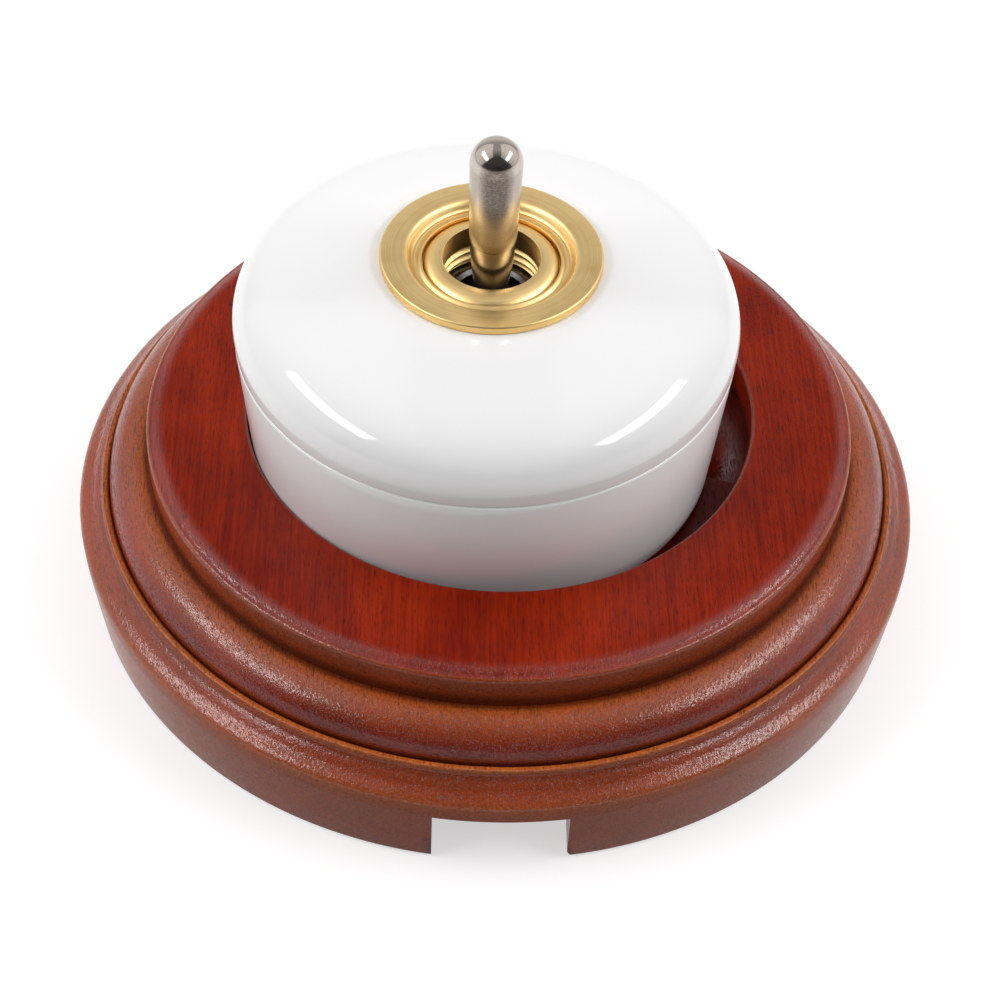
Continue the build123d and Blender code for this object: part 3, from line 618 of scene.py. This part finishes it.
def cut(mesh, cutters, operation="DIFFERENCE"):
    """Apply solid cutters, each a bmesh, to a bmesh and return the result."""
    for cutter in cutters:
        holders = []
        for part in (mesh, cutter):
            data = bpy.data.meshes.new("part")
            part.to_mesh(data)
            part.free()
            holder = bpy.data.objects.new("part", data)
            bpy.context.scene.collection.objects.link(holder)
            holders.append(holder)
        boolean = holders[0].modifiers.new("cut", "BOOLEAN")
        boolean.operation = operation
        boolean.solver = "EXACT"
        boolean.object = holders[1]
        shaped = holders[0].evaluated_get(bpy.context.evaluated_depsgraph_get())
        mesh = bmesh.new()
        mesh.from_mesh(shaped.to_mesh())
        for holder in holders:
            bpy.data.objects.remove(holder)
    return mesh


def diagonal(turn):
    """A place on the porcelain's floor, by its bearing from the switch's axis."""
    return switch_centre + Matrix.Rotation(radians(turn), 3, "Z") @ Vector((floor_hole_reach, 0, 0))


def notch_cutter():
    """The cable notch as a solid: straight sides that flare at the back face."""
    half = notch_width / 2
    left, right = notch_corner_left, notch_corner_right
    front = [
        *round_corner((half, right), (half, 0), (half + right, 0), 8),
        (half + right, -1),
        (-half - left, -1),
        *round_corner((-half - left, 0), (-half, 0), (-half, left), 6),
        (-half, notch_height),
        (half, notch_height),
    ]
    mesh = bmesh.new()
    outer_y = -(wood_radius + 2)
    face = mesh.faces.new([mesh.verts.new((x * MM, outer_y * MM, z * MM)) for x, z in tidy_outline(front)])
    sweep = bmesh.ops.extrude_face_region(mesh, geom=[face])
    moved = [v for v in sweep["geom"] if isinstance(v, bmesh.types.BMVert)]
    bmesh.ops.translate(mesh, verts=moved, vec=(0, (wood_radius - hollow_radius + 4) * MM, 0))
    bmesh.ops.recalc_face_normals(mesh, faces=mesh.faces)
    return mesh


def wood_outline():
    """The turned section: recess, disc, mouldings, side, back and hollow."""
    thumb_r = wood_radius - shoulder_width - cove_width - ledge_width
    disc_r = thumb_r - thumb_width
    foot_z = wood_top - disc_side
    ledge_z = foot_z - thumb_drop
    cove_r = thumb_r + ledge_width
    cove_foot_r = cove_r + cove_width
    cove_foot_z = ledge_z - cove_drop
    widest_z = cove_foot_z - shoulder_drop
    edge_z = widest_z - side_edge
    edge_r = wood_radius - side_edge_inset
    back_r = wood_radius - side_lean
    rolled_z = wood_top - disc_edge_drop
    slope = Vector((cove_width + shoulder_width, -cove_drop - shoulder_drop)).normalized()
    cove_foot = Vector((cove_foot_r, cove_foot_z))
    return [
        (0, recess_floor),
        (recess_radius * 0.5, recess_floor),
        (recess_radius, recess_floor),
        (recess_radius, (recess_floor + wood_top) / 2),
        *round_corner(
            (recess_radius, wood_top - recess_edge),
            (recess_radius, wood_top),
            (recess_radius + recess_edge, wood_top),
        ),
        ((recess_radius + disc_r) / 2, wood_top),
        *bezier(
            (disc_r - disc_edge_width, wood_top),
            (disc_r - disc_edge_width + disc_edge_pull, wood_top),
            (disc_r - disc_edge_round - disc_edge_foot_pull, rolled_z + disc_edge_foot_lift),
            (disc_r - disc_edge_round, rolled_z),
            10,
        ),
        *round_corner(
            (disc_r - disc_edge_round, rolled_z), (disc_r, rolled_z), (disc_r, rolled_z - disc_edge_round)
        ),
        (disc_r, (rolled_z + foot_z) / 2),
        (disc_r, foot_z),
        *round_corner((disc_r, foot_z), (thumb_r, foot_z), (thumb_r, ledge_z), 18),
        (thumb_r, ledge_z - quirk),
        *softened((thumb_r, ledge_z - quirk), (thumb_r + quirk, ledge_z), (cove_r, ledge_z)),
        *softened((thumb_r + quirk, ledge_z), (cove_r, ledge_z), (cove_r, ledge_z - quirk)),
        *bezier(
            (cove_r, ledge_z - quirk),
            (cove_r, ledge_z - quirk - cove_pull),
            cove_foot - slope * cove_foot_pull,
            cove_foot,
            8,
        ),
        *bezier(
            cove_foot,
            cove_foot + slope * cove_foot_pull,
            (wood_radius, widest_z + shoulder_pull),
            (wood_radius, widest_z),
            12,
        ),
        *softened((wood_radius, widest_z), (edge_r, edge_z), (back_r, back_edge), side_edge_soft),
        (edge_r - (edge_r - back_r) / 2, edge_z / 2),
        *softened((edge_r, edge_z), (back_r, back_edge), (back_r - back_edge, 0)),
        *softened((back_r, back_edge), (back_r - back_edge, 0), (hollow_radius, 0)),
        ((back_r + hollow_radius) / 2, 0),
        *softened((back_r, 0), (hollow_radius, 0), (hollow_radius, hollow_depth), hollow_edge_soft),
        (hollow_radius, hollow_depth),
        (hollow_radius * 0.5, hollow_depth),
        (0, hollow_depth),
    ]


def mark_crests(mesh, outline, reach=1.2):
    """Store how far each vertex stands proud of its outline's run, which is below 0 in a groove."""
    points = [Vector(p) for p in tidy_outline(outline)]
    lengths = [0.0]
    for first, second in zip(points, points[1:]):
        lengths.append(lengths[-1] + (second - first).length)

    def at(distance):
        """The point that lies this far along the outline."""
        distance = min(max(distance, 0.0), lengths[-1])
        for i in range(1, len(points)):
            if lengths[i] >= distance:
                share = (distance - lengths[i - 1]) / (lengths[i] - lengths[i - 1])
                return points[i - 1].lerp(points[i], share)
        return points[-1]

    proud = {}
    for point, length in zip(points, lengths):
        before, after = at(length - reach), at(length + reach)
        run = (after - before).normalized()
        outward = Vector((-run.y, run.x))
        height = (point - (before + after) / 2).dot(outward) / reach
        proud[(round(point.x, 3), round(point.y, 3))] = height
    layer = mesh.verts.layers.float.new("crest")
    for vert in mesh.verts:
        flat = sqrt(vert.co.x**2 + vert.co.y**2) / MM
        vert[layer] = proud.get((round(flat, 3), round(vert.co.z / MM, 3)), 0.0)


def mark_wear_and_sheen(mesh):
    """Store how pale each vertex is drawn, by the turned feature that it lies on: where the stain is rubbed
    through, and on the upward tops of the thumb and ridge a painted sheen as well.
    """
    thumb_r = wood_radius - shoulder_width - cove_width - ledge_width
    disc_r = thumb_r - thumb_width
    foot_z = wood_top - disc_side
    ledge_z = foot_z - thumb_drop
    low_edge_z = ledge_z - cove_drop - shoulder_drop - side_edge
    ridge_pale, thumb_top_pale, thumb_foot_worn = 1.0, 0.85, 0.5
    cove_worn, shoulder_more, low_edge_worn, disc_edge_worn = 0.25, 0.35, 0.35, 0.3
    thumb_top_from, thumb_foot_to = 0.3, 0.15         # shares of the thumb moulding's quarter turn
    slack, groove_slack, edge_band = 0.05, 0.1, 0.3
    layer = mesh.verts.layers.float.new("wear_and_sheen")
    for vert in mesh.verts:
        r, z = vert.co.xy.length / MM, vert.co.z / MM
        wear_and_sheen = 0.0
        if r > thumb_r + slack and z < ledge_z - quirk - groove_slack:
            across = (r - thumb_r - ledge_width) / (cove_width + shoulder_width)
            wear_and_sheen = cove_worn + shoulder_more * max(across, 0) ** 4
            if z < low_edge_z + edge_band:
                wear_and_sheen = low_edge_worn
        elif r > thumb_r + slack:
            wear_and_sheen = ridge_pale
        elif r > disc_r + slack and ledge_z - slack < z < foot_z + slack:
            turn = atan2((z - ledge_z) / thumb_drop, (r - disc_r) / thumb_width) / (pi / 2)
            wear_and_sheen = thumb_top_pale * max(turn - thumb_top_from, 0) / (1 - thumb_top_from)
            wear_and_sheen += thumb_foot_worn * max(thumb_foot_to - turn, 0) / thumb_foot_to
        elif r > disc_r - edge_band and z > foot_z:
            wear_and_sheen = disc_edge_worn
        vert[layer] = wear_and_sheen


def build_wood(material):
    """Turned base with its recess set off its axis, its notch, screw holes and cable holes."""
    outline = wood_outline()
    mesh = lathe(outline, 288)
    mark_crests(mesh, outline)
    mark_wear_and_sheen(mesh)
    margin = 0.1
    rim, floor = recess_radius + recess_edge + margin, recess_floor - margin
    recess = [v for v in mesh.verts if v.co.z > floor * MM and v.co.xy.length < rim * MM]
    bmesh.ops.translate(mesh, verts=recess, vec=(0, recess_shift * MM, 0))
    web_low, web_high = hollow_depth - CUTTER_RUN, recess_floor + CUTTER_RUN
    sink = wall_head_radius - wall_hole_radius
    cutters = [notch_cutter()]
    for x in (-wall_hole_x, wall_hole_x):
        cutters.append(bar(wall_hole_radius, web_low, web_high, x))
        cutters.append(
            bar(
                wall_hole_radius,
                recess_floor - sink,
                recess_floor + CUTTER_SLIVER,
                x,
                top_radius=wall_head_radius,
            )
        )
    for turn in cable_turns:
        place = diagonal(turn)
        cutters.append(bar(wood_cable_hole_radius, web_low, web_high, place.x, place.y))
    for turn in screw_turns:
        place = diagonal(turn)
        pilot_low = hollow_depth + pilot_web
        cutters.append(bar(wood_screw_hole_radius, pilot_low, web_high, place.x, place.y, steps=24))
    mesh = cut(mesh, cutters)
    return make_piece("wood_base_turned", mesh, material, "base", "stained_wood", "wood_base")


def build_cup(material):
    """Glazed cup with the holes in its floor."""
    foot_z = cup_low.z
    inner = cup_rim_radius - cup_wall
    outline = [
        (0, foot_z),
        (cup_foot_radius / 2, foot_z),
        *round_corner(
            (cup_foot_radius - cup_foot_edge, foot_z),
            (cup_foot_radius, foot_z),
            (cup_foot_radius, foot_z + cup_foot_edge),
            8,
        ),
        ((cup_foot_radius + cup_rim_radius) / 2, (foot_z + cup_foot_edge + seam_z - seam_edge) / 2),
        *round_corner(
            (cup_rim_radius, seam_z - seam_edge),
            (cup_rim_radius, seam_z),
            (cup_rim_radius - seam_edge, seam_z),
        ),
        *softened((cup_rim_radius, seam_z), (inner, seam_z), (inner, cup_floor_z), cup_inner_edge),
        (inner, cup_floor_z),
        (inner / 2, cup_floor_z),
        (0, cup_floor_z),
    ]
    mesh = lathe(outline)
    bmesh.ops.translate(mesh, verts=mesh.verts, vec=porcelain_centre * MM)
    low, high = foot_z - CUTTER_RUN, cup_floor_z + CUTTER_RUN
    cutters = []
    for radius, turns in ((cable_hole_radius, cable_turns), (screw_hole_radius, screw_turns)):
        for place in map(diagonal, turns):
            cutters.append(bar(radius, low, high, place.x, place.y))
    for x in (-bracket_hole_x, bracket_hole_x):
        place = switch_centre + Vector((x, 0, 0))
        cutters.append(bar(bracket_hole_radius, low, high, place.x, place.y))
        cutters.append(bar(nut_pocket_radius, low, foot_z + nut_pocket_depth, place.x, place.y, steps=6))
    return make_piece("porcelain_cup", cut(mesh, cutters), material, "base", "porcelain", "porcelain_base")


def build_cover(material):
    """Glazed domed cover with its lip."""
    widest_z = seam_z + cover_skirt
    flat_r = cover_radius - cover_shoulder
    flat_z = cover_top - cover_crown_drop
    under_z = cover_top - cover_crown
    roof_z = seam_z + cover_roof
    lip_z = seam_z - cover_lip_drop
    outline = [
        (cover_lip_inner, lip_z),
        (cover_lip_outer, lip_z),
        (cover_lip_outer, seam_z),
        *round_corner(
            (cup_rim_radius - seam_edge, seam_z),
            (cup_rim_radius, seam_z),
            (cup_rim_radius, seam_z + seam_edge),
        ),
        *bezier(
            (cover_radius, widest_z),
            (cover_radius, widest_z + cover_side_pull),
            (flat_r + cover_top_pull, flat_z - cover_top_slope * cover_top_pull),
            (flat_r, flat_z),
            28,
        ),
        *bezier(
            (flat_r, flat_z),
            (flat_r - cover_land_pull, flat_z + cover_top_slope * cover_land_pull),
            (cover_land + cover_land_pull, cover_top),
            (cover_land, cover_top),
            10,
        ),
        *round_corner(
            (cover_hole_radius + cover_hole_edge, cover_top),
            (cover_hole_radius, cover_top),
            (cover_hole_radius, cover_top - cover_hole_edge),
        ),
        (cover_hole_radius, under_z),
        *bezier(
            (flat_r - cover_roof_flat, under_z),
            (flat_r + cover_roof_pull, under_z),
            (cover_lip_inner, roof_z + cover_roof_pull),
            (cover_lip_inner, roof_z),
        ),
    ]
    mesh = lathe(outline, 220)
    bmesh.ops.translate(mesh, verts=mesh.verts, vec=porcelain_centre * MM)
    return make_piece("porcelain_cover_domed", mesh, material, "base", "porcelain", "porcelain_cover")


def build_rosette(material):
    """Turned rosette: chamfered flat rim, cove, lip, counterbore and hub."""
    dish_z = rosette_top - dish_drop
    lip_z = rosette_top - lip_drop
    middle_r = (dish_radius + dish_foot) / 2
    hub_z = ring_seat - rosette_hub_drop
    chamfer_foot = (rosette_radius, rosette_top - rosette_edge)
    chamfer_top = (rosette_radius - rosette_edge, rosette_top)
    outline = [
        (rosette_radius - rosette_foot_edge, cover_top),
        (rosette_radius, cover_top + rosette_foot_edge),
        *softened((rosette_radius, cover_top), chamfer_foot, chamfer_top, rosette_soft),
        *softened(chamfer_foot, chamfer_top, (dish_radius, rosette_top), rosette_soft),
        ((rosette_radius + dish_radius) / 2, rosette_top),
        *bezier(
            (dish_radius, rosette_top),
            (middle_r, rosette_top),
            (middle_r, dish_z),
            (dish_foot, dish_z),
            16,
        ),
        *softened((dish_foot, dish_z), (lip_radius, lip_z), (bore_radius, lip_z), rosette_lip_soft),
        *softened((lip_radius, lip_z), (bore_radius, lip_z), (bore_radius, ring_seat), rosette_lip_soft),
        (bore_radius, ring_seat),
        (rosette_ledge_radius, ring_seat),
        (rosette_ledge_radius, hub_z),
        (rosette_hub_radius, hub_z),
        (rosette_hub_radius, cover_top),
    ]
    mesh = lathe(outline)
    bmesh.ops.translate(mesh, verts=mesh.verts, vec=switch_centre * MM)
    return make_piece("rosette_turned", mesh, material, "base", "brass", "rosette")


def thread_ridge(top_z, bottom_z, crest_r, root_r):
    """A helical ridge with flat crests, as a closed bmesh that winds down a bore."""
    turns = (top_z - bottom_z) / thread_pitch
    wide = (thread_pitch - thread_gap) / 2
    upper = [(root_r + thread_root, wide), (root_r, wide), (crest_r, thread_flat / 2)]
    section = upper + [(r, -z) for r, z in reversed(upper)]
    mesh = bmesh.new()
    verts = [mesh.verts.new((r * MM, 0, (top_z + z) * MM)) for r, z in section]
    first = mesh.faces.new(verts)
    steps_a_turn = 64
    steps = int(steps_a_turn * turns)
    bmesh.ops.spin(
        mesh,
        geom=[first],
        cent=(0, 0, 0),
        axis=(0, 0, 1),
        dvec=(0, 0, -(top_z - bottom_z) * MM / steps),
        angle=2 * pi * turns,
        steps=steps,
    )
    bmesh.ops.remove_doubles(mesh, verts=mesh.verts, dist=1e-7)
    bmesh.ops.recalc_face_normals(mesh, faces=mesh.faces)
    return mesh


def build_ring(material):
    """Ring nut: domed head, smooth collar and a right-handed thread down its bore."""
    mouth_r = ring_hole_radius + ring_mouth
    mouth_z = ring_crest - ring_mouth
    collar_end = mouth_z - ring_collar
    thread_top = (thread_radius, collar_end - ring_runout)
    bottom = ring_low.z
    outline = [
        (ring_shank_radius, bottom),
        (ring_shank_radius, ring_seat),
        (ring_radius - ring_foot_edge, ring_seat),
        (ring_radius, ring_seat + ring_foot_edge),
        *bezier(
            (ring_radius, ring_seat + ring_side),
            (ring_radius, ring_seat + ring_side + ring_side_pull),
            (mouth_r + ring_crest_pull, ring_crest),
            (mouth_r, ring_crest),
            16,
        ),
        *softened(
            (mouth_r + 1, ring_crest), (mouth_r, ring_crest), (ring_hole_radius, mouth_z), ring_mouth_soft
        ),
        *softened((ring_hole_radius, mouth_z), (ring_hole_radius, collar_end), thread_top, ring_collar_soft),
        thread_top,
        (thread_radius, bottom),
    ]
    mesh = lathe(outline)
    ridge_top, ridge_bottom = collar_end - thread_start, bushing_top - thread_past
    ridge = thread_ridge(ridge_top, ridge_bottom, ring_hole_radius, thread_radius)
    mesh = cut(mesh, [ridge], "UNION")
    bmesh.ops.translate(mesh, verts=mesh.verts, vec=switch_centre * MM)
    return make_piece("ring_nut_threaded", mesh, material, "base", "brass", "ring_nut")


def build_bushing(material):
    """Plated bushing with its pin hole."""
    flange_rim = (bushing_flange_radius, bushing_flange_top)
    flange_z = bushing_flange_top - bushing_flange
    outline = [
        (bushing_bore_radius, bushing_low.z),
        (bushing_spigot_radius, bushing_low.z),
        (bushing_spigot_radius, flange_z),
        (bushing_flange_radius, flange_z),
        *softened((bushing_flange_radius, 0), flange_rim, (0, bushing_flange_top)),
        (thread_radius, bushing_flange_top),
        (thread_radius, bushing_top - bushing_mouth),
        (thread_radius - bushing_mouth, bushing_top),
        (bushing_bore_radius + bushing_mouth, bushing_top),
        (bushing_bore_radius, bushing_top - bushing_mouth),
    ]
    mesh = lathe(outline, 96)
    bmesh.ops.translate(mesh, verts=mesh.verts, vec=switch_centre * MM)
    mesh = cut(mesh, [cross_bar(pin_hole_radius, bushing_flange_radius)])
    return make_piece("bushing_plated", mesh, material, "base", "nickel", "bushing")


def cross_bar(radius, half_length):
    """A round bar along X through the lever's pivot."""
    mesh = bar(radius, -half_length, half_length, steps=32)
    bmesh.ops.rotate(mesh, verts=mesh.verts, cent=(0, 0, 0), matrix=Matrix.Rotation(pi / 2, 3, "Y"))
    bmesh.ops.translate(mesh, verts=mesh.verts, vec=pivot * MM)
    return mesh


def build_lever(material):
    """Turned lever: domed tip, tapered grip, step, neck, ball and hollow arm."""
    dome_z = lever_reach - lever_tip_radius
    neck_z = step_reach - neck_length
    ball_top = sqrt(ball_radius**2 - shank_radius**2)
    ball_foot = -sqrt(ball_radius**2 - arm_radius**2)
    ball, ball_steps = [], 14
    low_turn, high_turn = atan2(ball_foot, arm_radius), atan2(ball_top, shank_radius)
    for i in range(ball_steps + 1):
        turn = low_turn + (high_turn - low_turn) * i / ball_steps
        ball.append(tuple(Matrix.Rotation(turn, 2) @ Vector((ball_radius, 0))))
    neck_foot, step_foot = (neck_radius, neck_z), (neck_radius, step_reach)
    step_rim = (lever_foot_radius, step_reach + step_edge)
    grip_top = (lever_tip_radius, dome_z)
    outline = [
        (spring_bore_radius, -arm_reach),
        (arm_radius, -arm_reach),
        *ball,
        (shank_radius, shank_reach),
        *bezier(
            (shank_radius, shank_reach),
            (shank_radius, shank_reach + shank_pull),
            (neck_radius, neck_z - shank_pull),
            neck_foot,
            10,
        ),
        *softened(neck_foot, step_foot, step_rim, step_foot_soft),
        *softened(step_foot, step_rim, grip_top, step_soft),
        ((lever_foot_radius + lever_tip_radius) / 2, (step_reach + step_edge + dome_z) / 2),
        *round_corner(grip_top, (lever_tip_radius, lever_reach), (0, lever_reach), 20),
        (0, arm_bore_top),
        (spring_bore_radius, arm_bore_top),
    ]
    mesh = lathe(outline, 120)
    bmesh.ops.rotate(mesh, verts=mesh.verts, cent=(0, 0, 0), matrix=Matrix.Rotation(lever_lean, 3, "X"))
    bmesh.ops.translate(mesh, verts=mesh.verts, vec=pivot * MM)
    mesh = cut(mesh, [cross_bar(pin_hole_radius, ball_radius + CUTTER_RUN)])
    return make_piece("toggle_lever_plated", mesh, material, "lever", "nickel", "toggle_lever")


def dress_inner_nodes(finishes):
    """Give each frame node that stays its own finish."""
    for node, material in finishes.items():
        data = frame["nodes"][node].data
        data.materials.clear()
        data.materials.append(material)


def build_floor():
    """Round pale paper floor, lifted towards white where the eye or a reflection meets it."""
    reach_m, lift_strength = 4.0, 0.58
    mesh = bmesh.new()
    bmesh.ops.create_circle(mesh, cap_ends=True, segments=96, radius=reach_m)
    data = bpy.data.meshes.new("floor")
    mesh.to_mesh(data)
    mesh.free()
    floor = bpy.data.objects.new("floor", data)
    bpy.context.scene.collection.objects.link(floor)
    material, tree = new_material("pale_paper_floor")
    paper = add_node(tree, "ShaderNodeBsdfPrincipled", {"Base Color": srgb("#C6C6C6"), "Roughness": 0.9})
    rays = add_node(tree, "ShaderNodeLightPath").outputs
    seen = rays["Is Camera Ray"]
    for ray in (rays["Is Glossy Ray"], rays["Is Transmission Ray"]):
        seen = add_node(tree, "ShaderNodeMath", {0: seen, 1: ray}, operation="MAXIMUM")
    seen = add_node(tree, "ShaderNodeMath", {0: seen, 1: lift_strength}, operation="MULTIPLY")
    lift = add_node(tree, "ShaderNodeEmission", {"Color": srgb("#FFFFFF"), "Strength": seen})
    shader = add_node(tree, "ShaderNodeAddShader", {0: paper, 1: lift})
    add_node(tree, "ShaderNodeOutputMaterial", {"Surface": shader})
    data.materials.append(material)


def light_world(front, overhead, behind):
    """Studio air by direction: nearly dark in front, dim overhead, and a pale wall low behind the object."""
    world = bpy.data.worlds.new("studio")
    world.use_nodes = True
    tree = world.node_tree
    tree.nodes.clear()
    direction = add_node(tree, "ShaderNodeTexCoord").outputs["Generated"]
    depth = add_node(tree, "ShaderNodeSeparateXYZ", {0: direction}).outputs["Y"]
    grey = add_node(tree, "ShaderNodeMapRange", {0: depth, 1: -0.5, 2: 0.05, 3: front, 4: overhead})
    wall = add_node(tree, "ShaderNodeMapRange", {0: depth, 1: 0.7, 2: 0.9, 4: behind - overhead})
    grey = add_node(tree, "ShaderNodeMath", {0: grey, 1: wall}, operation="ADD")
    background = add_node(tree, "ShaderNodeBackground", {"Color": srgb("#FFFFFF"), "Strength": grey})
    add_node(tree, "ShaderNodeOutputWorld", {"Surface": background})
    bpy.context.scene.world = world


def softbox(name, centre_mm, width_mm, length_mm, radiance):
    """A rectangular area lamp that faces the object, set by the radiance of its face."""
    lamp = bpy.data.lights.new(name, "AREA")
    lamp.shape = "RECTANGLE"
    lamp.size = width_mm * MM
    lamp.size_y = length_mm * MM
    lamp.energy = radiance * pi * lamp.size * lamp.size_y
    holder = bpy.data.objects.new(name, lamp)
    bpy.context.scene.collection.objects.link(holder)
    holder.location = Vector(centre_mm) * MM
    porcelain_height_mm = 20
    aim = Vector((0, 0, porcelain_height_mm)) * MM - holder.location
    holder.rotation_euler = aim.to_track_quat("-Z", "Y").to_euler()


def set_camera():
    """The photograph's view, fitted to the turned rims: from in front, looking about 46 degrees down."""
    place = Vector((-9.175, -216.194, 230.455)) * MM
    aim = Vector((-0.052, -12.489, 20.0)) * MM
    roll = radians(2.6075)
    data = bpy.data.cameras.new("camera")
    data.sensor_width = 36.0
    data.lens = 91.71
    data.clip_start = 0.01
    data.clip_end = 20.0
    camera = bpy.data.objects.new("camera", data)
    bpy.context.scene.collection.objects.link(camera)
    turn = (aim - place).to_track_quat("-Z", "Y").to_matrix() @ Matrix.Rotation(roll, 3, "Z")
    camera.matrix_world = Matrix.Translation(place) @ turn.to_4x4()
    bpy.context.scene.camera = camera


brass = turned_brass()
nickel = satin_nickel_plate()
zinc = plain_metal("zinc_plated_steel", "#B9BDC2", 0.28, 0.16, 1.2)
steel = plain_metal("drawn_steel", "#9FA1A4", 0.25, 0.12, 0.5)
copper = plain_metal("rolled_copper", "#C98A63", 0.26, 0.14, 0.8)
silver = plain_metal("silver_contact", "#D9D7D2", 0.2, 0.12, 0.4)
inner_brass = plain_metal("milled_brass", "#CBA862", 0.26, 0.14, 0.7)
phenolic = moulded("moulded_phenolic", "#15100E", "#2A211D", 0.35, 0.6, 0.01)
fibre = moulded("vulcanised_fibre", "#57201A", "#743026", 0.55, 0.3, 0.015)
glaze = glazed_porcelain()

build_wood(lacquered_red_hardwood())
build_cup(glaze)
build_cover(glaze)
build_rosette(brass)
build_ring(brass)
# The bushing's nickel is drawn dark grey: painted shade for the deep shadow down inside the ring nut.
build_bushing(plain_metal("nickel_bushing_painted_shade", "#504D4E", 0.25, 0.15, 0.6))
build_lever(nickel)
dress_inner_nodes(
    {
        "bridge_bracket": zinc,
        "mechanism_housing": phenolic,
        "lever_pin": steel,
        "plunger": phenolic,
        "plunger_spring": steel,
        "rocker_contact": copper,
        "moving_contact": silver,
        "fixed_contact": silver,
        "load_terminal": inner_brass,
        "line_terminal": inner_brass,
        "terminal_screws": zinc,
        "bracket_screws": zinc,
        "bracket_washers": zinc,
        "bracket_nuts": zinc,
        "base_screws": zinc,
        "base_washers": fibre,
    }
)

build_floor()
light_world(front=0.07, overhead=0.46, behind=0.85)
# Large walls of light fill the sides, and small bright strips pick out the lacquer's orange peel.
for side in (-1, 1):
    softbox("wall_light", (side * 571, 60, 488), width_mm=1025, length_mm=1064, radiance=0.5)
    softbox("strip_light", (side * 400, -80, 380), width_mm=400, length_mm=84, radiance=10.0)
set_camera()
bpy.context.scene.view_settings.view_transform = "Standard"
